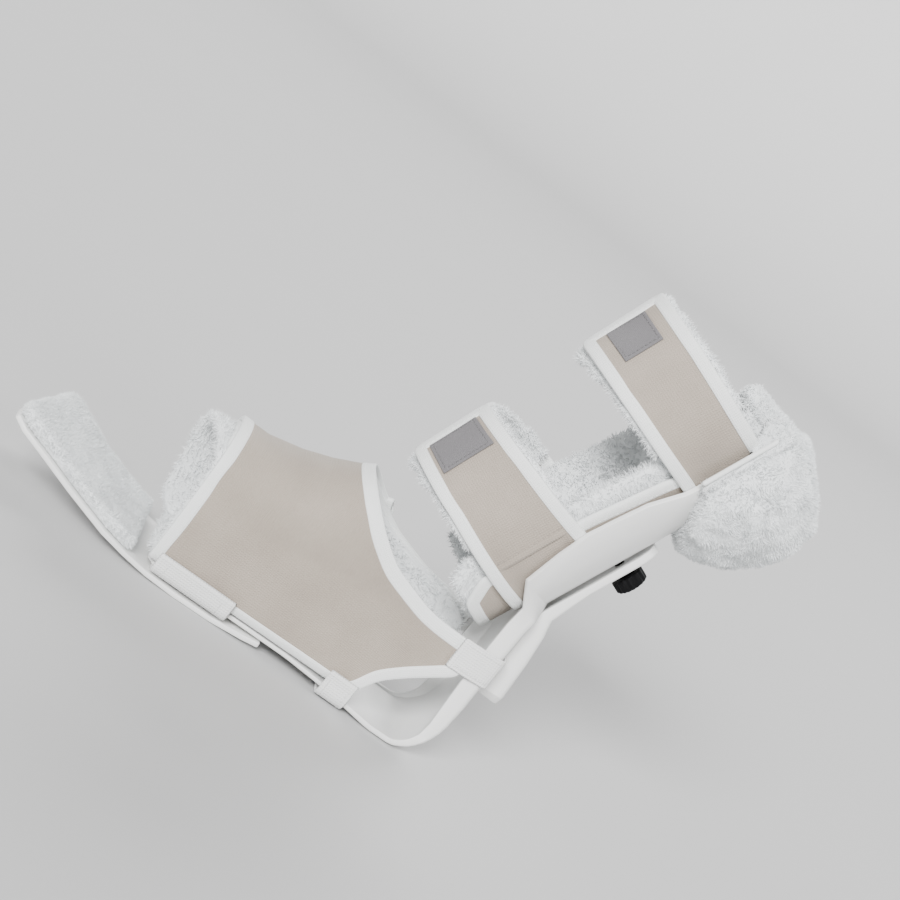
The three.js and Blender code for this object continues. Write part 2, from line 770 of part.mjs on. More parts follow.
// Foot section: at in millimetres ahead of the heel as shares of the plate's length, width and top
// as shares of the cavity's
const FOOT_SECTIONS = [
  { at: -0.1, width: 0.82, top: 1.62 },
  { at: 0, width: 0.88, top: 1.62 },
  { at: 0.15, width: 0.92, top: 1.62 },
  { at: 0.35, width: 0.95, top: 1.6 },
  { at: 0.5, width: 0.97, top: 1.42 },
  { at: 0.58, width: 0.98, top: 1.28 },
  { at: 0.68, width: 0.99, top: 1.15 },
  { at: 0.78, width: 1, top: 1.055 },
  { at: 0.9, width: 1.01, top: 0.985 },
  { at: 1.02, width: 1, top: 0.99 },
];
const ARCH_POWER = 2 / 2.4;
const SOLE_POWER = 2 / 6;
const cavityFloor = PLATE_RISE + SHELL_WALL + CLEARANCE + FOOT_PILE;

function footPoint(x, angle, layer) {
  const at = -x / PLATE_LENGTH;
  const half = readTable(FOOT_SECTIONS, 'width', at) * CAVITY_WIDTH / 2 + layer;
  const top = cavityFloor + readTable(FOOT_SECTIONS, 'top', at) * CAVITY_HEIGHT + layer;
  const turn = radians(angle);
  const upper = Math.sin(turn) >= 0;
  const power = upper ? ARCH_POWER : SOLE_POWER;
  const rise = upper ? top - SPRING_HEIGHT : SPRING_HEIGHT - cavityFloor + layer;
  const side = -Math.sign(Math.cos(turn)) * Math.abs(Math.cos(turn)) ** power * half;
  const up = Math.sign(Math.sin(turn)) * Math.abs(Math.sin(turn)) ** power * rise;
  return new THREE.Vector3(x, side, SPRING_HEIGHT + up);
}

// Angle below the spring line at which a layer of the wall is at a height
function soleAngle(height, layer) {
  const share = (SPRING_HEIGHT - height) / (SPRING_HEIGHT - cavityFloor + layer);
  return degrees(Math.asin(share ** (1 / SOLE_POWER)));
}

// Back edge of the wrap: ankle rim and heel cut, ahead as shares of the plate's length
const ANKLE_RIM = [
  { at: -0.06, rim: 0 },
  { at: 0.06, rim: 0.01 },
  { at: 0.17, rim: 0.06 },
  { at: 0.335, rim: 0.27 },
  { at: 0.45, rim: 0.55 },
  { at: 0.54, rim: 0.85 },
  { at: 0.59, rim: 1 },
];
const HEEL_CUT = [
  { at: -0.06, cut: 1 },
  { at: 0, cut: 0.86 },
  { at: 0.1, cut: 0.6 },
  { at: 0.155, cut: 0.42 },
  { at: 0.185, cut: 0.2 },
  { at: 0.22, cut: 0 },
];

// Where a lengthwise line of the wall ends at the ankle rim, the heel cut or the wrap's back end
function backEnd(angle, layer, inset = 0) {
  const turn = radians(angle);
  const beneath = Math.sin(turn) < 0 && Math.abs(Math.cos(turn)) < BENEATH_SHARE;
  if (beneath) return -SOLE_END - inset;
  const last = WRAP_BACK - inset;
  for (const x of steps(-PLATE_LENGTH * RIM_START, last, RIM_STEPS)) {
    const height = footPoint(x, angle, layer).z;
    const at = -x / PLATE_LENGTH;
    const rim = lerp(RIM_HEIGHT, CREST_HEIGHT, readTable(ANKLE_RIM, 'rim', at)) - inset;
    const cutLow = WRAP_FOOT - HEEL_CUT_DROP;
    const cut = lerp(cutLow, HEEL_CUT_TOP, readTable(HEEL_CUT, 'cut', at)) + inset;
    const cutAhead = at < HEEL_CUT.at(-1).at + inset / PLATE_LENGTH;
    if (height > rim || (cutAhead && height < cut)) return x;
  }
  return last;
}

const wrapIn = FOOT_PILE + SOFT_GAP;
const wrapOut = wrapIn + LAMINATE;
const footLow = soleAngle(WRAP_FOOT, wrapOut);
const footBound = soleAngle(WRAP_FOOT + BINDING, wrapOut);
const footMiddle = (footLow + footBound) / 2;
const SIDE_ANGLES = [0, 6, 12, 17, 21.5, 27, 35, 46, 60, 75];
const ARCH_ANGLES = [...SIDE_ANGLES, 90, ...SIDE_ANGLES.map((angle) => 180 - angle).reverse()];
const cornerAngles = [footBound / 2, footBound, footMiddle, footLow, 60, 75];
const SOLE_ANGLES = [
  ...cornerAngles.map((angle) => 180 + angle),
  270,
  ...cornerAngles.map((angle) => 360 - angle).reverse(),
];
const FOOT_SHARES = [0, 0.12, 0.25, 0.4, 0.55, 0.7, 0.82, 0.92, 1];

function footFleeceGeometry() {
  const angles = [...ARCH_ANGLES, ...SOLE_ANGLES];
  const grid = (layer) => FOOT_SHARES.map((share) => angles.map((angle) => {
    const lead = Math.max(Math.sin(radians(angle - FLEECE_LEAD_ANGLE)), 0) * FLEECE_LEAD;
    const front = -wrapFront - FLEECE_INSET - lead;
    const x = lerp(front, backEnd(angle, wrapOut) - FLEECE_INSET, share);
    return footPoint(x, angle, layer);
  }));
  return wall(grid(FOOT_PILE), grid(0), () => true, true);
}

// Half of the wrap: the near one runs over the far one across the instep
function wrapLift(angle) {
  const [start, before] = WRAP_LIFT_ANGLES;
  const over = LAMINATE + BINDING_PROUD + 2 * CLEARANCE;
  return smoothstep(angle, start, FLAP_NEAR_ANGLE - before) * over;
}

function wrapSide(near) {
  const mirror = (angle) => (near ? angle : 180 - angle);
  const front = near ? -wrapFront : -flapFront;
  const end = near ? WRAP_FAR_ANGLE : 180 - FLAP_NEAR_ANGLE;
  const bound = end - WRAP_END_BAND;
  const lift = (angle) => (near ? wrapLift(angle) : 0);
  const point = (x, angle, layer) => footPoint(x, mirror(angle), layer + lift(angle));
  const between = [-footBound / 2, ...ARCH_ANGLES].filter((angle) => angle < bound - WRAP_END_ROOM);
  const gap = degrees(SOFT_GAP / (CAVITY_WIDTH / 2 + wrapOut));
  const cloth = (layer) => {
    const angles = [gap - footBound, ...between, bound - gap];
    return FOOT_SHARES.map((share) => angles.map((angle) => {
      const a = front + BINDING + CLEARANCE;
      const b = backEnd(angle, wrapOut, BINDING + SOFT_GAP);
      return point(lerp(a, b, share), angle, layer);
    }));
  };
  const tape = (layer) => {
    const angles = [-footLow, -footMiddle, -footBound, ...between, bound, end];
    return [-1, ...FOOT_SHARES, 2].map((share) => angles.map((angle) => {
      const a = front + BINDING;
      const b = backEnd(angle, wrapOut, BINDING);
      if (share < 0) return point(front, angle, layer);
      if (share > 1) return point(backEnd(angle, wrapOut), angle, layer);
      return point(lerp(a, b, share), angle, layer);
    }));
  };
  const lastRow = FOOT_SHARES.length;
  const lastColumn = between.length + 3;
  const frame = (i, j) => i === 0 || i === lastRow || j <= 1 || j === lastColumn;
  return {
    cloth: wall(cloth(wrapOut), cloth(wrapIn)),
    tape: wall(tape(wrapOut + BINDING_PROUD), tape(wrapIn), frame),
  };
}

// Toe plate: side profile, ahead as shares of the tip's distance and up of the toe rise
const TOE_PROFILE = [
  { ahead: 0.968, up: 0.92, width: 0.66, skew: 1 },
  { ahead: 0.958, up: 0.885, width: 0.86, skew: 0.95 },
  { ahead: 0.932, up: 0.8, width: 0.97, skew: 0.8 },
  { ahead: 0.88, up: 0.64, width: 1, skew: 0.4 },
  { ahead: 0.82, up: 0.44, width: 1, skew: 0 },
  { ahead: 0.72, up: 0.2, width: 1, skew: 0 },
  { ahead: 0.66, up: 0.1, width: 0.98, skew: 0 },
  { ahead: 0.6, up: 0.03, width: 0.96, skew: 0 },
  { ahead: 0.53, up: 0, width: 0.94, skew: 0 },
  { ahead: 0.45, up: 0, width: 0.92, skew: 0 },
  { ahead: 0.37, up: 0.05, width: 0.9, skew: 0 },
  { ahead: 0.33, up: 0.08, width: 0.86, skew: 0 },
];

function toeLine(lift) {
  const points = TOE_PROFILE.map((row) => (
    new THREE.Vector3(-row.ahead * toePlateTip, 0, row.up * TOE_RISE)
  ));
  const up = inwardOf(points, 1);
  return points.map((point, i) => point.clone().addScaledVector(up[i], lift));
}

function tongue(first, last, low, high, narrow, crown) {
  const under = toeLine(low);
  const over = toeLine(high);
  const columns = steps(-1, 1, 8);
  const grid = (line, dish) => line.slice(first, last).map((point, i) => columns.map((share) => {
    const row = TOE_PROFILE[first + i];
    const side = -share * (row.width * TOE_WIDTH / 2 - narrow);
    const back = row.skew * TOE_SKEW * side / (TOE_WIDTH / 2);
    return point.clone().add(new THREE.Vector3(back, side, dish * share * share));
  }));
  return wall(grid(over, crown), grid(under, 0));
}

const toePadLast = TOE_PROFILE.findIndex((row) => row.ahead * toePlateTip < toePadBack);

function toePlateGeometry() {
  return tongue(0, TOE_PROFILE.length, 0, TOE_PLATE_WALL, 0, 0);
}

function toePadGeometry() {
  const seat = TOE_PLATE_WALL + CLEARANCE;
  return tongue(0, toePadLast, seat, seat + TOE_PAD_PILE, TOE_PAD_MARGIN, TOE_PAD_DISH);
}

// Webbing band: a path across the foot, swept along the foot's length or the strip's height
function band(path, along, width) {
  const outer = [-0.5, 0.5].map((share) => path.map((step) => (
    step.out.clone().addScaledVector(along, share * width)
  )));
  const inner = [-0.5, 0.5].map((share) => path.map((step) => (
    step.in.clone().addScaledVector(along, share * width)
  )));
  return wall(outer, inner);
}

// Both halves of a path across the foot from its half on the outer side
function bothSides(half) {
  const flip = (point) => new THREE.Vector3(point.x, -point.y, point.z);
  return [...half, ...half.slice(0, -1).reverse().map(flip)];
}

// Webbing under the plate, turned up against both sides of the wrap
const PLATE_UNDER = SOLE_PROFILE.map((row) => ({ at: row.ahead, up: row.up })).reverse();
function soleWebGeometry(ahead, width) {
  const x = -ahead;
  const seat = wrapOut + BINDING_PROUD + SOFT_GAP;
  const heights = [WEBBING_RISE, WRAP_FOOT + WEBBING_CHAMFER];
  const side = (layer) => heights.map((height) => footPoint(x, -soleAngle(height, layer), layer));
  const lowest = readTable(PLATE_UNDER, 'up', (ahead - width / 2) / PLATE_LENGTH) * PLATE_RISE;
  const under = lowest - CLEARANCE;
  const wide = Math.max(PLATE_WIDTH / 2, -side(seat)[1].y);
  const half = (layer, floor, reach) => [
    ...side(layer),
    new THREE.Vector3(x, -reach, floor + WEBBING_CORNER),
    new THREE.Vector3(x, -reach + WEBBING_CHAMFER, floor),
    new THREE.Vector3(x, 0, floor),
  ];
  const inner = half(seat, under, wide + CLEARANCE);
  const outer = half(seat + WEBBING, under - WEBBING, wide + CLEARANCE + WEBBING);
  const inners = bothSides(inner);
  const path = bothSides(outer).map((out, i) => ({ out, in: inners[i] }));
  return band(path, new THREE.Vector3(1, 0, 0), width);
}

// Webbing from the wrap's back ends round the back of the strip
function heelWebGeometry() {
  const z = HEEL_WEB_AT;
  const start = WRAP_BACK - BINDING - WEBBING_LAP;
  const beside = STRIP_WIDTH / 2 + CLEARANCE;
  const behind = STRIP_SETBACK + CLEARANCE;
  const seat = wrapOut + BINDING_PROUD + CLEARANCE;
  const wrapSideAt = (x) => -footPoint(x, HEEL_WEB_ANGLE, seat).y;
  const half = (grow) => [
    new THREE.Vector3(start, -wrapSideAt(start) - grow, z),
    new THREE.Vector3(WRAP_BACK + 1, -Math.max(wrapSideAt(WRAP_BACK), beside) - grow, z),
    new THREE.Vector3(behind - WEBBING_CORNER, -beside - grow, z),
    new THREE.Vector3(behind - 1 + grow, -beside + 1 - grow, z),
    new THREE.Vector3(behind + grow, -beside + WEBBING_CORNER, z),
    new THREE.Vector3(behind + grow, 0, z),
  ];
  const inners = bothSides(half(0));
  const path = bothSides(half(WEBBING)).map((out, i) => ({ out, in: inners[i] }));
  return band(path, new THREE.Vector3(0, 0, 1), HEEL_WEB_WIDTH);
}

// Rivet between the toe plate and the foot plate
function rivetGeometry() {
  const line = toeLine(TOE_PLATE_WALL);
  const over = line.map((point) => ({ at: point.x, z: point.z }));
  const floor = readTable(over, 'z', -rivetAt) + CLEARANCE;
  const height = PLATE_RISE - CLEARANCE - floor;
  const rivet = new THREE.CylinderGeometry(RIVET_RADIUS, RIVET_RADIUS, height, ROUND_SIDES);
  rivet.rotateX(Math.PI / 2);
  rivet.translate(-rivetAt, 0, floor + height / 2);
  return rivet;
}

// Finishes
const FINISH = {
  plastic: { color: 0xeaeae6, roughness: 0.35 },
  fabric: { color: 0xb9b2ac, roughness: 0.9 },
  tape: { color: 0xeceeea, roughness: 0.85 },
  fleece: { color: 0xcdd2d2, roughness: 1 },
  webbing: { color: 0xe9e9e6, roughness: 0.8 },
  hook: { color: 0x9a9aa2, roughness: 0.95 },
  knob: { color: 0x17191b, roughness: 0.5 },
};

const group = new THREE.Group();
function piece(name, geometry, finish) {
  const material = new THREE.MeshStandardMaterial({ ...FINISH[finish], metalness: 0 });
  const mesh = new THREE.Mesh(geometry, material);
  mesh.name = name;
  group.add(mesh);
}

piece('shell', shellGeometry(), 'plastic');
piece('toe_plate', toePlateGeometry(), 'plastic');
piece('toe_pad', toePadGeometry(), 'fleece');
piece('plate_rivet', rivetGeometry(), 'plastic');
piece('foot_fleece', footFleeceGeometry(), 'fleece');
const nearWrap = wrapSide(true);
const farWrap = wrapSide(false);
piece('instep_wrap', nearWrap.cloth, 'fabric');
piece('instep_wrap_binding', nearWrap.tape, 'tape');
piece('instep_flap', farWrap.cloth, 'fabric');
piece('instep_flap_binding', farWrap.tape, 'tape');
piece('front_sole_web', soleWebGeometry(frontWebAt, FRONT_WEB_WIDTH), 'webbing');
piece('rear_sole_web', soleWebGeometry(REAR_WEB_AT, REAR_WEB_WIDTH), 'webbing');
piece('heel_web', heelWebGeometry(), 'webbing');
piece('calf_liner', linerGeometry(), 'fabric');
piece('calf_liner_binding', calfBindingGeometry(), 'tape');
piece('calf_fleece', calfFleeceGeometry(), 'fleece');
for (const strap of STRAPS) {
  piece(`${strap.name}_strap`, strapGeometry(strap), 'fabric');
  piece(`${strap.name}_strap_binding`, strapBindingGeometry(strap), 'tape');
  piece(`${strap.name}_hook_tab`, strapTabGeometry(strap), 'hook');
  piece(`${strap.name}_flap`, strapFlapGeometry(strap), 'fabric');
  piece(`${strap.name}_shin_fleece`, shinFleeceGeometry(strap), 'fleece');
}
piece('fleece_cuff', cuffGeometry(), 'fleece');
piece('rotation_bar', barGeometry(), 'plastic');
piece('knob', knobGeometry(), 'knob');

// The origin is under the middle of the whole brace, on the surface that it stands on
const bounds = new THREE.Box3().setFromObject(group);
const middle = bounds.getCenter(new THREE.Vector3());
group.position.set(-middle.x, -middle.y, -bounds.min.z);

export default group;
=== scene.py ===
import math
import bpy
import numpy as np
from mathutils import Matrix, Vector


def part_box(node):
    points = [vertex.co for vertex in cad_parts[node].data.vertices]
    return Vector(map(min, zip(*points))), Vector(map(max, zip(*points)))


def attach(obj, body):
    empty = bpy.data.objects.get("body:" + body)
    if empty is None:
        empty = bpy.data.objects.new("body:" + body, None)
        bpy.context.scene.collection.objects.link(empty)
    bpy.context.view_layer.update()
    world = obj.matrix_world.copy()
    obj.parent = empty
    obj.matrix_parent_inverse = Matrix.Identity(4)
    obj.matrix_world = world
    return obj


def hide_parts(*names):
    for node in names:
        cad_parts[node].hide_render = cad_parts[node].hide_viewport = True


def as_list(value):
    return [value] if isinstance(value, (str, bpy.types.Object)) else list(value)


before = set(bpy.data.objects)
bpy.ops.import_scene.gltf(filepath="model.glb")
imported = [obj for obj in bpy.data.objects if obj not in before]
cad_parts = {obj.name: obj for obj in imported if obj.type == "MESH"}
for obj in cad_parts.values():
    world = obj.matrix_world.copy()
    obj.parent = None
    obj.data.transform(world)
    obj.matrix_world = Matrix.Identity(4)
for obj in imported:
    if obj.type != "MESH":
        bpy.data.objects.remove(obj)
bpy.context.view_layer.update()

# Sizes of the part, in its own millimetres: x 0 is where the heel touches the floor
PLATE_LENGTH = 170
PLATE_WIDTH = 74
PLATE_RISE = 7
SHELL_WALL = 3.2
ANKLE_HEIGHT = 111
STRIP_SETBACK = 25
STRIP_WIDTH = 70
CALF_LEAN = 22
CALF_OFFSET = 28
SHELL_TOP = 158
LEG_DEPTH = (82, 88)
LEG_WIDTH = (72, 83)
CLEARANCE = 0.35
SOFT_GAP = 0.5
LAMINATE = 2.6
STRAP_WALL = 2.4
CLOTH_SLACK = 0.3
BINDING = 7.5
BINDING_PROUD = 0.7
CLOTH_INSET = BINDING - 3
FLEECE_OUT = 7.65
LINER_IN = 8.35
LINER_OUT = LINER_IN + LAMINATE
STRAP_IN = LINER_OUT + CLEARANCE
STRAP_OUT = STRAP_IN + STRAP_WALL
SHELL_OUT = STRAP_OUT + CLEARANCE + BINDING_PROUD + SHELL_WALL
LINER_EDGE = 43
LINER_LOW = -36
LINER_LOW_SIDE = -32
LINER_AXIS = 60
FLEECE_SPILL = 10
STRAP_HIDDEN_ANGLE = 28
STRAP_END_ANGLE = 178
FLAP_END_ANGLE = 138
CREASE_ANGLE = 72
CREASE_STEP = 1.2
CREASE_RIDGE = 0.5
SHIN_PILE = 5
SHIN_SPILL = 3.4
TAB_LENGTH = 24
TAB_WIDTH = 25
TAB_WALL = 0.8
TAB_SETBACK = 4
CUFF_BOTTOM = 84
CUFF_TOP = 177
CUFF_HEM_ANGLE = 56
CUFF_HEM_RISE = 28
CUFF_FLARE = 44
CUFF_PILE = 14
CUFF_HEM = 5
FOOT_PILE = 6
WRAP_IN = FOOT_PILE + SOFT_GAP
WRAP_OUT = WRAP_IN + LAMINATE
CAVITY_WIDTH = 66
CAVITY_HEIGHT = 67
CAVITY_FLOOR = PLATE_RISE + SHELL_WALL + CLEARANCE + FOOT_PILE
SPRING_HEIGHT = 40
SOLE_END = 42
WRAP_FRONT = 171
FLAP_FRONT = 172
FLEECE_LEAD = 15
WRAP_BACK = 9
WRAP_FOOT = 11
WRAP_FAR_ANGLE = 150
FLAP_NEAR_ANGLE = 55
RIM_HEIGHT = 77
CREST_HEIGHT = 118
HEEL_CUT_TOP = 57
WEBBING = 1.5
WEBBING_RISE = 20
FRONT_WEB_AT = PLATE_LENGTH - 29
FRONT_WEB_WIDTH = 50
REAR_WEB_AT = 42
REAR_WEB_WIDTH = 18
HEEL_WEB_AT = 69
HEEL_WEB_WIDTH = 20
ARCH_POWER = 2 / 2.4
SOLE_POWER = 2 / 6

# Straps: height of the middle at the back, width, and by angle the two edges as shares of the width
STRAPS = {
    "lower": {"at": 6, "width": 44, "course": [
        (0, -0.42, 0.93), (60, -0.42, 0.93), (110, -0.42, 0.8), (150, -0.46, 0.68), (180, -0.5, 0.6)]},
    "upper": {"at": 121, "width": 53, "course": [
        (0, -0.34, 0.58), (60, -0.34, 0.58), (110, -0.4, 0.56), (150, -0.46, 0.52), (180, -0.5, 0.5)]},
}
# Tables by place, a share of the part's length or height there: one or two sizes, as shares of a full size
LINER_EDGES = [(-0.23, 0.68, 1.6), (-0.11, 0.97, 1.4), (0, 1, 1), (0.3, 1.02, 1), (0.6, 0.91, 1),
               (0.75, 0.82, 0.7), (0.9, 0.6, 0), (1, 0.5, 0)]
FOOT_SECTIONS = [(-0.1, 0.82, 1.62), (0, 0.88, 1.62), (0.15, 0.92, 1.62), (0.35, 0.95, 1.6),
                 (0.5, 0.97, 1.42), (0.58, 0.98, 1.28), (0.68, 0.99, 1.15), (0.78, 1, 1.055),
                 (0.9, 1.01, 0.985), (1.02, 1, 0.99)]
ANKLE_RIM = [(-0.06, 0), (0.06, 0.01), (0.17, 0.06), (0.335, 0.27), (0.45, 0.55), (0.54, 0.85), (0.59, 1)]
HEEL_CUT = [(-0.06, 1), (0, 0.86), (0.1, 0.6), (0.155, 0.42), (0.185, 0.2), (0.22, 0)]
PLATE_UNDER = [(0, 0), (0.07, 0), (0.1, 0.06), (0.13, 0.17), (0.22, 0.5), (0.32, 0.8), (0.45, 1)]
CUFF_PROFILE = [(0, 0.3), (0.03, 0.46), (0.17, 0.72), (0.36, 0.93), (0.52, 1), (0.65, 0.97), (0.76, 0.86),
                (0.87, 0.55), (0.95, 0.15), (1, -0.16)]

# Pile of each fleece: hairs, their length and width, the seed and how strongly they mat
PILES = {
    "cuff": (41000, 2.0, 0.42, 61, 1.8),
    "toe_pad": (24000, 1.7, 0.34, 71, 0.7),
    "foot": (23000, 2.7, 0.38, 51, 0.9),
    "calf": (22000, 3.0, 0.38, 41, 0.9),
    "lower_shin": (12000, 2.6, 0.33, 31, 0.9),
    "upper_shin": (12000, 2.6, 0.33, 32, 0.9),
}
TAPE_PITCH = 1.6
SHARP_ANGLE = 32
LATTICE = 32

# In metres
WELD_DISTANCE = 0.00002
FLOOR_REACH = 5.0
FLOOR_RISE = 3.0

shell_low, shell_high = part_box("shell")
SHIFT = np.array([shell_low[0] * 1000 + PLATE_LENGTH, (shell_low[1] + shell_high[1]) * 500, 0])


# Points, tables and paths
def to_row(points):
    return (np.asarray(points) + SHIFT) / 1000


def read(table, x, column=1):
    rows = np.array(table, float)
    return np.interp(x, rows[:, 0], rows[:, column])


def smooth(a, b, x):
    t = np.clip((x - a) / (b - a), 0, 1)
    return t * t * (3 - 2 * t)


def unit(vectors):
    return vectors / np.maximum(np.linalg.norm(vectors, axis=-1, keepdims=True), 1e-9)


def relax(path, rounds):
    for _ in range(rounds):
        path[1:-1] = path[1:-1] * 0.5 + (path[:-2] + path[2:]) * 0.25


def lengths_along(path):
    return np.concatenate([[0], np.cumsum(np.linalg.norm(np.diff(path, axis=0), axis=1))])


def points_at(marks, lengths, path):
    return np.stack([np.interp(marks, lengths, path[:, k]) for k in range(3)], axis=-1)


def resample(path, pitch):
    lengths = lengths_along(path)
    marks = np.linspace(0, lengths[-1], max(int(lengths[-1] / pitch), 4))
    return points_at(marks, lengths, path)


def averaged(values, ends):
    kernel = np.array([1, 2, 3, 2, 1]) / 9
    return np.convolve(np.pad(values, 2, mode=ends), kernel, mode="valid")


# Smooth random field, the same on every run
lattice = np.random.default_rng(7).random((LATTICE, LATTICE, LATTICE, 4))


def field(points, size, channel=0):
    p = np.asarray(points) / size + 100
    cell = np.floor(p).astype(int)
    t = smooth(0, 1, p - cell)
    total = 0
    for corner in np.ndindex(2, 2, 2):
        at = (cell + corner) % LATTICE
        weight = np.prod(np.where(np.array(corner) == 1, t, 1 - t), axis=-1)
        total = total + weight * lattice[at[..., 0], at[..., 1], at[..., 2], channel]
    return total * 2 - 1


def flat_field(first, second, size, channel=0):
    return field(np.stack(np.broadcast_arrays(first, second, 0.0), axis=-1), size, channel)


# The calf surface: height along the calf, angle from its back round by the outer side, layer outwards
ALONG = np.array([math.sin(math.radians(CALF_LEAN)), 0, math.cos(math.radians(CALF_LEAN))])
FORWARD = np.array([-math.cos(math.radians(CALF_LEAN)), 0, math.sin(math.radians(CALF_LEAN))])
SIDE = np.array([0, 1, 0])
CALF_ORIGIN = np.array([CALF_OFFSET, 0, ANKLE_HEIGHT])


def half_width(height):
    return (LEG_WIDTH[0] + (LEG_WIDTH[1] - LEG_WIDTH[0]) * height / SHELL_TOP) / 2


def half_depth(height):
    return (LEG_DEPTH[0] + (LEG_DEPTH[1] - LEG_DEPTH[0]) * height / SHELL_TOP) / 2


def calf_point(height, angle, layer):
    height, angle, layer = np.broadcast_arrays(*(np.asarray(v, float) for v in (height, angle, layer)))
    turn = np.radians(angle)
    half = half_depth(height)
    ahead = SHELL_OUT + half - (half + layer) * np.cos(turn)
    side = -(half_width(height) + layer) * np.sin(turn)
    return CALF_ORIGIN + height[..., None] * ALONG + ahead[..., None] * FORWARD + side[..., None] * SIDE


def calf_outward(height, angle):
    return calf_point(height, angle, 1) - calf_point(height, angle, 0)


def calf_axis(height):
    return calf_point(height, 0, -half_depth(height))


def calf_place(points):
    from_origin = points - CALF_ORIGIN
    height = from_origin @ ALONG
    ahead = from_origin @ FORWARD
    half = half_depth(height)
    sine = -points[..., 1] / half_width(height)
    cosine = (SHELL_OUT + half - ahead) / half
    return height, np.degrees(np.arctan2(sine, cosine)) % 360


def angle_ahead(height, ahead, layer):
    half = half_depth(height)
    return np.degrees(np.arccos((SHELL_OUT + half - ahead) / (half + layer)))


def angle_of(length):
    return math.degrees(length / (LEG_DEPTH[0] / 2 + LINER_OUT))


# The foot surface: x along the foot, angle from the outer side over the instep, layer outwards
def foot_point(x, angle, layer):
    x, angle, layer = np.broadcast_arrays(*(np.asarray(v, float) for v in (x, angle, layer)))
    at = -x / PLATE_LENGTH
    half = read(FOOT_SECTIONS, at) * CAVITY_WIDTH / 2 + layer
    top = CAVITY_FLOOR + read(FOOT_SECTIONS, at, 2) * CAVITY_HEIGHT + layer
    cosine = np.cos(np.radians(angle))
    sine = np.sin(np.radians(angle))
    power = np.where(sine >= 0, ARCH_POWER, SOLE_POWER)
    rise = np.where(sine >= 0, top - SPRING_HEIGHT, SPRING_HEIGHT - CAVITY_FLOOR + layer)
    side = -np.sign(cosine) * np.abs(cosine) ** power * half
    up = np.sign(sine) * np.abs(sine) ** power * rise
    return np.stack([x, side, SPRING_HEIGHT + up], axis=-1)


def foot_place(points, layer):
    x = points[..., 0]
    at = -x / PLATE_LENGTH
    half = read(FOOT_SECTIONS, at) * CAVITY_WIDTH / 2 + layer
    top = CAVITY_FLOOR + read(FOOT_SECTIONS, at, 2) * CAVITY_HEIGHT + layer
    up = points[..., 2] - SPRING_HEIGHT
    rise = np.where(up >= 0, top - SPRING_HEIGHT, SPRING_HEIGHT - CAVITY_FLOOR + layer)
    power = np.where(up >= 0, ARCH_POWER, SOLE_POWER)
    cosine = -np.sign(points[..., 1]) * np.abs(points[..., 1] / half) ** (1 / power)
    sine = np.sign(up) * np.abs(up / rise) ** (1 / power)
    return x, np.degrees(np.arctan2(sine, cosine))


def sole_angle(height, layer):
    share = (SPRING_HEIGHT - height) / (SPRING_HEIGHT - CAVITY_FLOOR + layer)
    return math.degrees(math.asin(share ** (1 / SOLE_POWER)))


def back_end(angle, layer, inset=0):
    if math.sin(math.radians(angle)) < 0 and abs(math.cos(math.radians(angle))) < 0.6:
        return -SOLE_END - inset
    last = WRAP_BACK - inset
    x = np.linspace(-PLATE_LENGTH * 0.62, last, 481)
    height = foot_point(x, angle, layer)[:, 2]
    at = -x / PLATE_LENGTH
    rim = RIM_HEIGHT + (CREST_HEIGHT - RIM_HEIGHT) * read(ANKLE_RIM, at) - inset
    cut = WRAP_FOOT - 3 + (HEEL_CUT_TOP - WRAP_FOOT + 3) * read(HEEL_CUT, at) + inset
    past = (height > rim) | ((at < HEEL_CUT[-1][0] + inset / PLATE_LENGTH) & (height < cut))
    return x[np.argmax(past)] if past.any() else last


FOOT_LOW = sole_angle(WRAP_FOOT, WRAP_OUT)


def new_object(name, data):
    thing = bpy.data.objects.new(name, data)
    bpy.context.scene.collection.objects.link(thing)
    return thing


# Piece from points in the part's millimetres, with a flat length map and faces added without smoothing
def make_piece(name, points, faces, node, slot_name, body="brace", flat_map=None, extra=None):
    points = [np.asarray(points).reshape(-1, 3)]
    faces = [np.asarray(faces)]
    if extra is not None:
        shift = len(points[0])
        points.append(extra[0])
        faces.append(np.asarray(extra[1]) + shift)
    mesh = bpy.data.meshes.new(name)
    verts = to_row(np.concatenate(points))
    mesh.vertices.add(len(verts))
    mesh.vertices.foreach_set("co", verts.ravel())
    loops = np.concatenate([f.ravel() for f in faces])
    sizes = np.concatenate([np.full(len(f), f.shape[1]) for f in faces])
    starts = np.concatenate([[0], np.cumsum(sizes)[:-1]])
    mesh.loops.add(len(loops))
    mesh.loops.foreach_set("vertex_index", loops.astype(np.int32))
    mesh.polygons.add(len(sizes))
    mesh.polygons.foreach_set("loop_start", starts.astype(np.int32))
    mesh.polygons.foreach_set("use_smooth", np.arange(len(sizes)) < len(faces[0]))
    if flat_map is not None:
        lengths = np.zeros((len(verts), 2))
        lengths[:len(flat_map)] = flat_map
        layer = mesh.uv_layers.new(name="cut")
        layer.data.foreach_set("uv", (lengths[loops] / 100).astype(np.float32).ravel())
    mesh.update(calc_edges=True)
    piece = new_object(name, mesh)
    mesh.materials.append(MATERIALS[slot_name])
    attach(piece, body)
    for replaced in ([node] if isinstance(node, str) else node):
        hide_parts(replaced)
    return piece


def grid_lengths(grid):
    down = np.linalg.norm(np.diff(grid, axis=0), axis=-1)
    over = np.linalg.norm(np.diff(grid, axis=1), axis=-1)
    v = np.vstack([np.zeros(grid.shape[1]), np.cumsum(down, axis=0)])
    u = np.hstack([np.zeros((grid.shape[0], 1)), np.cumsum(over, axis=1)])
    return u, v


def grid_normals(grid, closed=False):
    if closed:
        over = np.roll(grid, -1, axis=1) - np.roll(grid, 1, axis=1)
    else:
        over = np.gradient(grid, axis=1)
    down = np.gradient(grid, axis=0)
    return unit(np.cross(down, over))


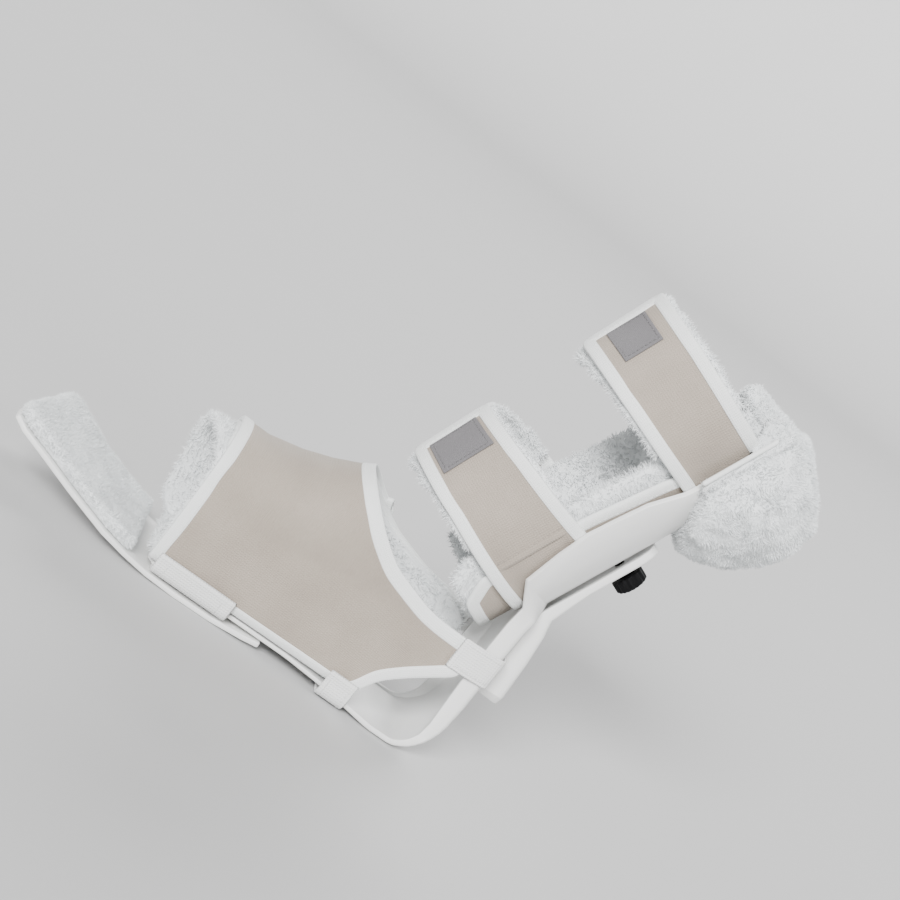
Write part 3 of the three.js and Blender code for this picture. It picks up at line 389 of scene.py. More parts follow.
def edge_steps(count, fine=(0, 0.004, 0.012, 0.03)):
    inner = np.linspace(fine[-1], 1 - fine[-1], count)[1:-1]
    return np.concatenate([fine, inner, 1 - np.array(fine)[::-1]])


# Quads between the rows and columns of a grid of point numbers
def grid_quads(index, closed=False):
    if closed:
        index = np.hstack([index, index[:, :1]])
    corners = [index[:-1, :-1], index[:-1, 1:], index[1:, 1:], index[1:, :-1]]
    return np.stack(corners, axis=-1).reshape(-1, 4)


def split(quads):
    return np.concatenate([quads[:, [0, 1, 2]], quads[:, [0, 2, 3]]])


# Closed sheet about a middle grid: its two faces meet in rounded edges
def sheet_faces(rows, columns, closed=False):
    outer = np.arange(rows * columns).reshape(rows, columns)
    inner = outer + rows * columns
    inner[0] = outer[0]
    inner[-1] = outer[-1]
    if not closed:
        inner[:, 0] = outer[:, 0]
        inner[:, -1] = outer[:, -1]
    return np.concatenate([grid_quads(outer, closed)[:, [0, 3, 2, 1]], grid_quads(inner, closed)])


def sheet_solid(middle, thickness, outward, edge=1.2, closed=False, puff=0):
    u, v = grid_lengths(middle)
    normal = grid_normals(middle, closed)
    sign = np.sign(np.sum(normal * outward, axis=-1, keepdims=True))
    sign[sign == 0] = 1
    normal = normal * sign
    near = np.minimum(v, v[-1] - v)
    if not closed:
        near = np.minimum(near, np.minimum(u, u[:, -1:] - u))
    share = np.clip(near / edge, 0, 1)
    half = thickness / 2 * np.sqrt(1 - (1 - share) ** 2)
    crown = puff * smooth(0, 14, near)
    outer = middle + normal * (half + crown)[..., None]
    inner = middle - normal * half[..., None]
    faces = sheet_faces(*middle.shape[:2], closed)
    if np.median(sign) < 0:
        faces = faces[:, ::-1]
    points = np.concatenate([outer, inner]).reshape(-1, 3)
    return points, faces, np.tile(np.stack([u, v], axis=-1).reshape(-1, 2), (2, 1))


# Pile: thin closed spikes, matted into locks by a smooth field, that grow on faces which keep() picks
def pile(points, faces, kind, keep):
    count, length, width, seed, matting = PILES[kind]
    rng = np.random.default_rng(seed)
    a, b, c = points[faces[:, 0]], points[faces[:, 1]], points[faces[:, 2]]
    d = points[faces[:, -1]]
    cross = np.cross(c - a, d - b)
    area = np.linalg.norm(cross, axis=1) + 1e-12
    normal = cross / area[:, None]
    weight = np.where(keep((a + c) / 2, normal), area, 0)
    pick = rng.choice(len(faces), count, p=weight / weight.sum())
    s, t = rng.random((2, count, 1))
    root = (a[pick] * (1 - s) + b[pick] * s) * (1 - t) + (d[pick] * (1 - s) + c[pick] * s) * t
    up = normal[pick]
    comb = np.stack([field(root, 7, k) for k in range(3)], axis=-1)
    wild = rng.normal(0, 0.35, (count, 3))
    way = up + matting * comb + wild
    way = way + up * np.clip(0.35 - np.sum(way * up, axis=1), 0, None)[:, None]
    way = unit(way)
    grow = length * (0.55 + 0.9 * rng.random((count, 1))) * (1 + 0.35 * field(root, 11, 3))[:, None]
    first = unit(np.cross(way, rng.normal(0, 1, (count, 3))))
    second = np.cross(way, first)
    base = root - up * 0.4
    thirds = np.arange(3) * 2 * math.pi / 3
    corners = [base + width * (math.cos(k) * first + math.sin(k) * second) for k in thirds]
    verts = np.stack([*corners, root + way * grow], axis=1).reshape(-1, 3)
    start = np.arange(count)[:, None] * 4
    tris = np.concatenate([start + np.array(f) for f in ([0, 1, 3], [1, 2, 3], [2, 0, 3], [0, 2, 1])])
    return verts, tris


# Seam of small raised stitches along a line of points
def stitches(path, normals, pitch=3.4, length=2.4, width=0.34, lift=0.2):
    at = lengths_along(path)
    count = max(int(at[-1] / pitch), 1)
    starts = (np.arange(count) + 0.5) * at[-1] / count
    middle = points_at(starts, at, path)
    along = unit(points_at(starts + 0.5, at, path) - middle)
    up = unit(points_at(starts, at, normals))
    across = np.cross(up, along)
    verts = []
    for ahead_by, half, rise in ((-0.5, 0.35, -0.2), (-0.22, 1, 1), (0.22, 1, 1), (0.5, 0.35, -0.2)):
        for side, high in ((-1, -0.25), (0, 1), (1, -0.25)):
            verts.append(middle + along * ahead_by * length + across * side * half * width
                         + up * lift * (high if rise > 0 else rise))
    verts = np.stack(verts, axis=1).reshape(-1, 3)
    start = np.arange(count)[:, None] * 12
    sides = np.concatenate([start + quad for quad in grid_quads(np.arange(12).reshape(4, 3), closed=True)])
    caps = np.concatenate([start + np.array(cap) for cap in ([0, 2, 1], [9, 10, 11])])
    return verts, np.concatenate([split(sides), caps])


def join(*parts):
    verts = []
    faces = []
    shift = 0
    for v, f in parts:
        verts.append(v)
        faces.append(f + shift)
        shift += len(v)
    return np.concatenate(verts), np.concatenate(faces)


# Round cord along a line of points, its ends drawn in
def cord(line, radius, sides=8):
    along = unit(np.gradient(line, axis=0))
    first = unit(np.cross(along, SIDE))
    second = np.cross(along, first)
    turns = np.arange(sides) * 2 * math.pi / sides
    rings = np.full(len(line), radius)
    rings[[0, -1]] = radius * 0.3
    grid = line[:, None] + rings[:, None, None] * (
        np.cos(turns)[None, :, None] * first[:, None] + np.sin(turns)[None, :, None] * second[:, None])
    index = np.arange(len(line) * sides).reshape(len(line), sides)
    caps = []
    for k in range(1, sides - 1):
        caps.append([index[0, 0], index[0, k + 1], index[0, k]])
        caps.append([index[-1, 0], index[-1, k], index[-1, k + 1]])
    return grid.reshape(-1, 3), np.concatenate([split(grid_quads(index, closed=True)), caps])


# Binding tape folded over an edge: path runs along the edge, snap() puts points on the surface
def make_edging(name, node, path, snap, toward, wall, rounding=10):
    path = resample(path, TAPE_PITCH)
    relax(path, rounding)
    base = snap(path, 0)
    normal = unit(snap(path, 1) - base)
    inward = np.cross(normal, unit(np.gradient(base, axis=0))) * toward
    marks = np.array([0, 0.1, 0.5, 1.4, 3, BINDING - 1.6, BINDING - 0.5, BINDING - 0.12, BINDING])
    thick = np.array([0, 0.45, 0.8, 1, 1.04, 1.0, 0.94, 0.72, 0])
    grid = np.stack([snap(path + inward * m, 0) for m in marks], axis=1)
    ripple = 1 + 0.05 * field(base, 5, 2)[:, None]
    half = wall / 2 * thick[None, :] * ripple
    half[0] = 0
    half[-1] = 0
    rise = normal[:, None] * half[..., None]
    points = np.concatenate([grid + rise, grid - rise]).reshape(-1, 3)
    faces = sheet_faces(len(path), len(marks))
    if toward < 0:
        faces = faces[:, ::-1]
    sewn = stitches((grid + rise)[2:-2, len(marks) - 4], normal[2:-2])
    lengths = np.meshgrid(np.arange(len(path)) * TAPE_PITCH, marks, indexing="ij")
    flat = np.tile(np.stack(lengths, axis=-1).reshape(-1, 2), (2, 1))
    return make_piece(name, points, faces, node, "tape", flat_map=flat, extra=sewn)


# Materials
def new_material(name, color, roughness, **sockets):
    material = bpy.data.materials.new(name)
    material.use_nodes = True
    shader = material.node_tree.nodes["Principled BSDF"]
    shader.inputs["Base Color"].default_value = (*color, 1)
    shader.inputs["Roughness"].default_value = roughness
    for key, value in sockets.items():
        shader.inputs[key.replace("_", " ")].default_value = value
    return material, material.node_tree, shader


def add(tree, kind, **values):
    node = tree.nodes.new(kind)
    for key, value in values.items():
        if hasattr(node, key):
            setattr(node, key, value)
        else:
            node.inputs[key.replace("_", " ")].default_value = value
    return node


def place(tree, kind):
    return tree.nodes.new("ShaderNodeTexCoord").outputs[kind]


def tint(tree, shader, factor, dark, light):
    ramp = tree.nodes.new("ShaderNodeValToRGB")
    ramp.color_ramp.elements[0].color = (*dark, 1)
    ramp.color_ramp.elements[1].color = (*light, 1)
    tree.links.new(factor, ramp.inputs["Fac"])
    tree.links.new(ramp.outputs["Color"], shader.inputs["Base Color"])
    return ramp


def bump(tree, shader, height, strength, distance, before=None):
    node = add(tree, "ShaderNodeBump", Strength=strength, Distance=distance)
    tree.links.new(height, node.inputs["Height"])
    if before is not None:
        tree.links.new(before.outputs["Normal"], node.inputs["Normal"])
    tree.links.new(node.outputs["Normal"], shader.inputs["Normal"])
    return node


def math_node(tree, kind, a, b):
    node = add(tree, "ShaderNodeMath", operation=kind)
    for socket, value in zip(node.inputs, (a, b)):
        if isinstance(value, (int, float)):
            socket.default_value = value
        else:
            tree.links.new(value, socket)
    return node.outputs["Value"]


def blend(tree, first, first_share, second, second_share):
    first = math_node(tree, "MULTIPLY", first, first_share)
    second = math_node(tree, "MULTIPLY", second, second_share)
    return math_node(tree, "ADD", first, second)


def noise(tree, coords, scale, detail=3, roughness=0.55):
    node = add(tree, "ShaderNodeTexNoise", Scale=scale, Detail=detail, Roughness=roughness)
    tree.links.new(coords, node.inputs["Vector"])
    return node.outputs["Fac"]


def wave(tree, coords, scale, direction, distortion=0.0):
    node = add(tree, "ShaderNodeTexWave", Scale=scale, Distortion=distortion, bands_direction=direction)
    tree.links.new(coords, node.inputs["Vector"])
    return node.outputs["Fac"]


def plastic_material(name, dark, light):
    material, tree, shader = new_material(name, light, 0.34, Coat_Weight=0.08, Coat_Roughness=0.2)
    coords = place(tree, "Object")
    tint(tree, shader, noise(tree, coords, 14, 4), dark, light)
    grain = noise(tree, coords, 900, 2)
    waves = noise(tree, coords, 28, 2)
    first = bump(tree, shader, grain, 0.12, 0.0002)
    bump(tree, shader, waves, 0.12, 0.0012, first)
    scuffs = noise(tree, coords, 60, 6, 0.7)
    rough = add(tree, "ShaderNodeMapRange", clamp=True, To_Min=0.27, To_Max=0.46)
    tree.links.new(scuffs, rough.inputs["Value"])
    tree.links.new(rough.outputs["Result"], shader.inputs["Roughness"])
    return material


def woven_material(name, dark, light, pitch, roughness, depth, sheen=0.15, speckle=0.4):
    material, tree, shader = new_material(name, light, roughness, Sheen_Weight=sheen, Sheen_Roughness=0.6)
    flat = place(tree, "UV")
    solid = place(tree, "Object")
    scale = 100 / pitch / math.pi
    over = wave(tree, flat, scale, "X", 0.4)
    along = wave(tree, flat, scale, "Y", 0.4)
    weave = math_node(tree, "MULTIPLY", over, along)
    cloud = noise(tree, solid, 22, 3)
    fine = noise(tree, solid, 1400, 2, 0.7)
    mixed = blend(tree, cloud, 0.75, fine, speckle)
    shade = math_node(tree, "ADD", mixed, math_node(tree, "MULTIPLY", weave, 0.14))
    tint(tree, shader, math_node(tree, "SUBTRACT", shade, 0.12), dark, light)
    first = bump(tree, shader, weave, 0.5, depth)
    bump(tree, shader, fine, 0.25, depth * 0.6, first)
    return material


def fleece_material(name, dark, light):
    material, tree, shader = new_material(name, light, 0.95, Sheen_Weight=0.35, Sheen_Roughness=0.5)
    coords = place(tree, "Object")
    lumps = noise(tree, coords, 90, 4, 0.6)
    fibre = noise(tree, coords, 1500, 2, 0.7)
    mixed = blend(tree, lumps, 0.8, fibre, 0.35)
    tint(tree, shader, math_node(tree, "SUBTRACT", mixed, 0.08), dark, light)
    first = bump(tree, shader, fibre, 0.6, 0.0006)
    bump(tree, shader, lumps, 0.35, 0.0015, first)
    return material


def knob_material():
    material, tree, shader = new_material("knob", (0.003, 0.003, 0.0035), 0.6, Specular_IOR_Level=0.1)
    coords = place(tree, "Object")
    tint(tree, shader, noise(tree, coords, 300, 3), (0.0015, 0.0015, 0.002), (0.006, 0.006, 0.0065))
    bump(tree, shader, noise(tree, coords, 1500, 2), 0.25, 0.0003)
    return material


MATERIALS = {
    "plastic": plastic_material("plastic", (0.8, 0.8, 0.785), (0.88, 0.88, 0.87)),
    "fabric": woven_material("fabric", (0.25, 0.21, 0.17), (0.47, 0.405, 0.34), 1.5, 0.9, 0.0005),
    "tape": woven_material("tape", (0.8, 0.82, 0.81), (0.93, 0.94, 0.93), 1.1, 0.85, 0.0004, 0.1, 0.3),
    "fleece": fleece_material("fleece", (0.7, 0.725, 0.735), (0.95, 0.965, 0.965)),
    "webbing": woven_material("webbing", (0.74, 0.745, 0.735), (0.9, 0.9, 0.89), 1.7, 0.8, 0.0006, 0.1, 0.3),
    "hook": woven_material("hook", (0.1, 0.095, 0.1), (0.19, 0.182, 0.19), 0.9, 0.95, 0.0004, 0.1, 0.6),
    "knob": knob_material(),
}


# Smooth shading, except across edges that turn by more than the angle
def shading_group(angle):
    group = bpy.data.node_groups.new("smooth_shading", "GeometryNodeTree")
    for way in ("INPUT", "OUTPUT"):
        group.interface.new_socket("Geometry", in_out=way, socket_type="NodeSocketGeometry")
    start = group.nodes.new("NodeGroupInput")
    end = group.nodes.new("NodeGroupOutput")
    faces = add(group, "GeometryNodeSetShadeSmooth", domain="FACE")
    edges = add(group, "GeometryNodeSetShadeSmooth", domain="EDGE")
    edges.inputs["Shade Smooth"].default_value = False
    turned = group.nodes.new("GeometryNodeInputMeshEdgeAngle")
    sharp = math_node(group, "GREATER_THAN", turned.outputs["Unsigned Angle"], math.radians(angle))
    group.links.new(start.outputs["Geometry"], faces.inputs["Geometry"])
    group.links.new(faces.outputs["Geometry"], edges.inputs["Geometry"])
    group.links.new(sharp, edges.inputs["Selection"])
    group.links.new(edges.outputs["Geometry"], end.inputs["Geometry"])
    return group


SHADING = shading_group(SHARP_ANGLE)


def weld(piece):
    piece.modifiers.new("weld", "WELD").merge_threshold = WELD_DISTANCE


# Moulded pieces keep their solids, with rounded edges and their finish
def dress_solid(node, slot_name, radius, angle):
    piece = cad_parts[node]
    piece.data.materials.clear()
    piece.data.materials.append(MATERIALS[slot_name])
    weld(piece)
    rounded = piece.modifiers.new("edges", "BEVEL")
    rounded.width = radius / 1000
    rounded.segments = 3
    rounded.limit_method = "ANGLE"
    rounded.angle_limit = math.radians(angle)
    rounded.harden_normals = False
    piece.modifiers.new("shading", "NODES").node_group = SHADING


dress_solid("shell", "plastic", 0.9, 40)
dress_solid("toe_plate", "plastic", 0.8, 40)
dress_solid("rotation_bar", "plastic", 0.7, 40)
dress_solid("plate_rivet", "plastic", 0.3, 40)
dress_solid("knob", "knob", 0.35, 30)


def calf_snap(layer_of):
    def snap(points, lift):
        height, angle = calf_place(points)
        return calf_point(height, angle, layer_of(angle) + lift)
    return snap


# Calf straps
def overlap_lift(angle):
    around = np.asarray(angle, float)
    return smooth(FLAP_END_ANGLE - 24, FLAP_END_ANGLE - 6, around) * (STRAP_WALL + CLEARANCE)


def course(strap, angle):
    around = np.minimum(np.abs(angle), 360 - np.abs(angle))
    foot = strap["at"] + read(strap["course"], around) * strap["width"]
    knee = strap["at"] + read(strap["course"], around, 2) * strap["width"]
    return foot, knee


def strap_surface(strap, angles, shares, layer, lifted, inset):
    angle, share = np.meshgrid(angles, shares, indexing="ij")
    foot, knee = course(strap, angle)
    height = foot + inset + (knee - foot - 2 * inset) * share
    lift = overlap_lift(angle) if lifted else 0
    soft = 0.35 * flat_field(angle / 3, height, 13)
    return calf_point(height, angle, layer + lift + soft)


def strap_path(strap, first, last):
    angles = np.linspace(first, last, 90)
    foot, knee = course(strap, angles)
    return np.concatenate([
        calf_point(foot, angles, 0),
        calf_point(np.linspace(foot[-1], knee[-1], 30), last, 0)[1:-1],
        calf_point(knee, angles, 0)[::-1],
    ])


STRAP_MIDDLE = (STRAP_IN + STRAP_OUT) / 2


def make_strap(name, strap, near):
    first = STRAP_HIDDEN_ANGLE if near else 360 - STRAP_HIDDEN_ANGLE
    last = STRAP_END_ANGLE if near else FLAP_END_ANGLE
    cloth_last = last - angle_of(CLOTH_INSET) * (1 if near else -1)
    creased = near and name == "lower"
    angles = first + (cloth_last - first) * edge_steps(200 if creased else 100)
    shares = edge_steps(26)
    middle_layer = np.full((len(angles), len(shares)), STRAP_MIDDLE)
    if creased:
        inner = smooth(0.06, 0.16, shares) * (1 - smooth(0.84, 0.94, shares))
        step = CREASE_STEP * smooth(CREASE_ANGLE - 0.8, CREASE_ANGLE + 0.8, angles) - CREASE_STEP
        ridge = CREASE_RIDGE * np.exp(-((angles - CREASE_ANGLE - 1.6) / 1.6) ** 2)
        middle_layer += (step + ridge)[:, None] * inner
    middle = strap_surface(strap, angles, shares, middle_layer, near, CLOTH_INSET)
    out = middle - calf_axis(strap["at"])
    points, faces, flat = sheet_solid(middle, STRAP_WALL - CLOTH_SLACK, out, 0.6, puff=0.25)
    cloth = f"{name}_strap" if near else f"{name}_flap"
    piece = make_piece(f"{cloth}_cloth", points, faces, cloth, "fabric", flat_map=flat)
    trims = []
    if creased:
        shares = np.linspace(0.14, 0.86, 60)
        path = strap_surface(strap, [CREASE_ANGLE + 5], shares, STRAP_OUT + 0.1, True, 0)[0]
        under = strap_surface(strap, [CREASE_ANGLE + 5], shares, 0, True, 0)[0]
        seam = stitches(path, path - under, 3.0, 2.5, 0.4, 0.35)
        trims.append(make_piece(f"{cloth}_seam", *seam, [], "fabric"))
    snap = calf_snap(lambda angle: STRAP_MIDDLE + (overlap_lift(angle) if near else 0))
    path = strap_path(strap, first, last)
    edge_node = f"{cloth}_binding" if near else []
    wall = STRAP_WALL + 2 * BINDING_PROUD
    trims.append(make_edging(f"{cloth}_edging", edge_node, path, snap, -1 if near else 1, wall))
    return piece, trims, middle


# A sheet's flat lengths and cell areas, worked out along its middle and then not kept
def declare(piece, grid, with_pieces=()):
    u, v = grid_lengths(grid)
    cells = np.cross(np.diff(grid[:-1], axis=1), np.diff(grid[:, :-1], axis=0))
    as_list(with_pieces)


def make_tab(name, strap):
    start = STRAP_END_ANGLE - angle_of(BINDING + TAB_SETBACK + TAB_LENGTH)
    end = STRAP_END_ANGLE - angle_of(BINDING + TAB_SETBACK)
    inset = (strap["width"] - TAB_WIDTH) / 2
    layer = STRAP_OUT + CLEARANCE + 0.55
    angles = start + (end - start) * edge_steps(18)
    middle = strap_surface(strap, angles, edge_steps(18), layer, True, inset)
    points, faces, flat = sheet_solid(middle, TAB_WALL + 0.4, middle - calf_axis(strap["at"]), 0.5)
    edge = 1.8 / TAB_WIDTH
    ring = [(edge, edge), (1 - edge, edge), (1 - edge, 1 - edge), (edge, 1 - edge), (edge, edge)]
    marks = np.concatenate([np.linspace(ring[k], ring[k + 1], 30, endpoint=False) for k in range(4)])
    angle = start + (end - start) * marks[:, 0]
    foot, knee = course(strap, angle)
    height = foot + inset + (knee - foot - 2 * inset) * marks[:, 1]
    path = calf_point(height, angle, layer + TAB_WALL / 2 + 0.25 + overlap_lift(angle))
    sewn = stitches(path, path - calf_point(height, angle, 0), 2.6, 1.9, 0.3, 0.15)
    piece = make_piece(f"{name}_tab", points, faces, f"{name}_hook_tab", "hook", flat_map=flat)
    seam = make_piece(f"{name}_tab_seam", *sewn, [], "hook")
    declare(piece, middle, [seam])


def make_shin_fleece(name, strap):
    foot_side = strap["at"] - strap["width"] / 2
    share = read(LINER_EDGES, foot_side / SHELL_TOP) * LINER_EDGE
    spill = read(LINER_EDGES, foot_side / SHELL_TOP, 2) * FLEECE_SPILL
    start = float(angle_ahead(foot_side, share + spill, LINER_OUT)) + angle_of(SHIN_PILE)
    outer = STRAP_IN - CLEARANCE
    angles = start + (360 - 2 * start) * edge_steps(90)
    layer = outer - SHIN_PILE / 2
    angle, share = np.meshgrid(angles, edge_steps(30), indexing="ij")
    foot, knee = course(strap, angle)
    height = foot - 1.5 + (knee - foot + 3) * share
    wander = 1.3 * flat_field(angle / 2, 0, 5)
    spill = SHIN_SPILL * smooth(125, 165, angle) * (1 - smooth(195, 235, angle))
    spill = spill * (1 + 0.8 * flat_field(angle / 3, 0, 6, 1))
    height = height + wander * (2 * share - 1) - spill * (1 - share) ** 3
    middle = calf_point(height, angle, layer)
    points, faces, _ = sheet_solid(middle, SHIN_PILE, middle - calf_axis(strap["at"]), 2.4)

    def open_side(at, normal):
        h, a = calf_place(at)
        foot, knee = course(strap, a)
        edge = (h < foot + 2.5) | (h > knee - 2.5)
        return edge | (np.sum(normal * calf_outward(h, a), axis=1) < -0.2)

    hairs = pile(points, faces, f"{name}_shin", open_side)
    piece = make_piece(f"{name}_shin_pile", points, faces, f"{name}_shin_fleece", "fleece", extra=hairs)


for name, strap in STRAPS.items():
    cloth, trims, grid = make_strap(name, strap, True)
    flap, flap_trims, flap_grid = make_strap(name, strap, False)
    make_tab(name, strap)
    make_shin_fleece(name, strap)
    declare(cloth, grid, trims)
    declare(flap, flap_grid, flap_trims)


# Calf liner
def liner_low(share):
    return LINER_LOW + (LINER_LOW_SIDE - LINER_LOW) * share * share


def liner_edge_angle(height, layer, spill=0):
    share = read(LINER_EDGES, height / SHELL_TOP)
    over = read(LINER_EDGES, height / SHELL_TOP, 2) * spill
    return angle_ahead(height, share * LINER_EDGE + over, layer)


def liner_grid(layer, shares, rises, edge_inset=0.0, low_inset=0.0, spill=0.0):
    rise, share = np.meshgrid(rises, shares, indexing="ij")
    low = liner_low(share) + low_inset
    height = low + (SHELL_TOP - low) * rise
    edge = liner_edge_angle(height, LINER_OUT, spill) - edge_inset
    return height, share * edge, calf_point(height, share * edge, layer)


def make_liner():
    middle_layer = (LINER_IN + LINER_OUT) / 2
    shares = edge_steps(70) * 2 - 1
    _, _, middle = liner_grid(middle_layer, shares, edge_steps(80), angle_of(CLOTH_INSET), CLOTH_INSET)
    points, faces, flat = sheet_solid(middle, LAMINATE - CLOTH_SLACK, middle - calf_axis(LINER_AXIS), 0.6)
    cloth = make_piece("calf_liner_cloth", points, faces, "calf_liner", "fabric", flat_map=flat)
    _, _, sides = liner_grid(middle_layer, np.array([-1.0, 1.0]), np.linspace(1, 0, 90))
    _, _, low = liner_grid(middle_layer, np.linspace(-1, 1, 80), np.array([0.0]))
    path = np.concatenate([sides[:, 0], low[0][1:-1], sides[::-1, 1]])
    snap = calf_snap(lambda angle: middle_layer)
    wall = LAMINATE + 0.3
    edging = make_edging("calf_liner_edging", "calf_liner_binding", path, snap, -1, wall, rounding=4)
    declare(cloth, middle, [edging])


make_liner()


def make_calf_fleece():
    shares = edge_steps(80) * 2 - 1
    height, angle, middle = liner_grid(FLEECE_OUT / 2 + 0.2, shares, edge_steps(80), 0, 1, FLEECE_SPILL)
    lumps = 0.8 * field(middle, 9)
    middle = calf_point(height, angle, FLEECE_OUT / 2 - 0.1)
    points, faces, _ = sheet_solid(middle, FLEECE_OUT - 1.2, middle - calf_axis(LINER_AXIS), 3.5)
    count = middle.shape[0] * middle.shape[1]
    points[count:] -= (calf_outward(height, angle) * (lumps + 0.4)[..., None]).reshape(-1, 3)

    def open_side(at, normal):
        h, a = calf_place(at)
        beyond = np.minimum(a, 360 - a) > liner_edge_angle(h, LINER_OUT) - 3
        return (np.sum(normal * calf_outward(h, a), axis=1) < 0.1) | beyond | (h < -30)

    hairs = pile(points, faces, "calf", open_side)
    piece = make_piece("calf_pile", points, faces, "calf_fleece", "fleece", extra=hairs)


make_calf_fleece()


# Instep wrap: the near half over the far half
def wrap_lift(angle):
    return smooth(20, FLAP_NEAR_ANGLE - 10, angle) * (LAMINATE + BINDING_PROUD + 2 * CLEARANCE)


def wrap_outward(grid):
    x = grid[..., 0]
    axis = np.stack([x, np.zeros_like(x), np.full_like(x, SPRING_HEIGHT)], axis=-1)
    return grid - axis


def make_wrap(near):
    front = -WRAP_FRONT if near else -FLAP_FRONT
    end = WRAP_FAR_ANGLE if near else 180 - FLAP_NEAR_ANGLE
    mirror = (lambda a: a) if near else (lambda a: 180 - a)
    middle_layer = (WRAP_IN + WRAP_OUT) / 2
    lift = wrap_lift if near else (lambda a: 0 * np.asarray(a, float))
    low = -sole_angle(WRAP_FOOT + CLOTH_INSET, WRAP_OUT)
    around = edge_steps(100)

    def edge_angle(x_at):
        step = foot_point(x_at, mirror(end), middle_layer) - foot_point(x_at, mirror(end - 1), middle_layer)
        return end - CLOTH_INSET / np.linalg.norm(step, axis=-1)

    angles = low + (edge_angle(back_end(end, WRAP_OUT, CLOTH_INSET)) - low) * around
    backs = averaged([back_end(a, WRAP_OUT, CLOTH_INSET) for a in angles], "edge")
    share = edge_steps(80)
    cloth_front = front + CLOTH_INSET
    x = cloth_front + (backs[None, :] - cloth_front) * share[:, None]
    angle = low + (edge_angle(x[:, -1])[:, None] - low) * around[None, :]
    soft = 0.5 * flat_field(x, angle * 0.8, 24) * smooth(0, 0.1, share)[:, None]
    creases = 0.5 * np.sin((x + 0.5 * angle) * 0.22) * smooth(-95, -60, x) * smooth(20, 50, angle)
    calm = smooth(0, 12, angle - low) * (1 - smooth(end - 26, end - 14, angle))
    calm = calm * (1 - smooth(0.8, 0.92, share))[:, None]
    layer = middle_layer + lift(angle) + (soft + creases) * calm
    middle = foot_point(x, mirror(angle), layer)
    points, faces, flat = sheet_solid(middle, LAMINATE - CLOTH_SLACK, wrap_outward(middle), 0.6)
    cloth_node = "instep_wrap" if near else "instep_flap"
    cloth = make_piece(f"{cloth_node}_cloth", points, faces, cloth_node, "fabric", flat_map=flat)
    rim_angles = np.linspace(-FOOT_LOW, end, 260)
    rim_backs = np.array([back_end(a, WRAP_OUT) for a in rim_angles])
    end_x = np.linspace(front, rim_backs[-1], 60)
    low_x = np.linspace(rim_backs[0], front, 120)
    path = np.concatenate([
        foot_point(front, mirror(rim_angles), middle_layer),
        foot_point(end_x, mirror(end), middle_layer)[1:-1],
        foot_point(rim_backs[::-1], mirror(rim_angles[::-1]), middle_layer),
        foot_point(low_x, mirror(-FOOT_LOW), middle_layer)[1:],
    ])

    def snap(points_in, more):
        x_at, angle_at = foot_place(points_in, middle_layer)
        turned = angle_at if near else (180 - angle_at + 180) % 360 - 180
        return foot_point(x_at, angle_at, middle_layer + lift(turned) + more)

    edging = make_edging(f"{cloth_node}_edging", f"{cloth_node}_binding", path, snap, -1 if near else 1,
                         LAMINATE + 2 * BINDING_PROUD - 0.4)
    declare(cloth, middle, [edging])


make_wrap(True)
make_wrap(False)


# Foot fleece: a tunnel round the foot
def make_foot_fleece():
    angles = np.linspace(0, 360, 150, endpoint=False)
    lead = np.maximum(np.sin(np.radians(angles - 45)), 0) * FLEECE_LEAD
    fronts = -WRAP_FRONT - 1 - lead
    backs = averaged([back_end(a if a <= 180 else a - 360, WRAP_OUT) - 1 for a in angles], "wrap")
    share = edge_steps(80)
    x = fronts[None, :] + (backs - fronts)[None, :] * share[:, None]
    angle = angles[None, :] + 0 * x
    middle = foot_point(x, angle, FOOT_PILE / 2)
    points, faces, _ = sheet_solid(middle, FOOT_PILE - 0.8, wrap_outward(middle), 2.6, closed=True)
    count = middle.shape[0] * middle.shape[1]
    inner = foot_point(x, angle, 0) - foot_point(x, angle, 1)
    points[count:] += (inner * (0.6 * field(middle, 9) + 0.2)[..., None]).reshape(-1, 3)

    def open_side(at, normal):
        inside = np.sum(normal * wrap_outward(at), axis=1) < 0
        return inside | (at[:, 0] < -WRAP_FRONT + 3) | (at[:, 0] > -30)

    hairs = pile(points, faces, "foot", open_side)
    piece = make_piece("foot_pile", points, faces, "foot_fleece", "fleece", extra=hairs)


make_foot_fleece()


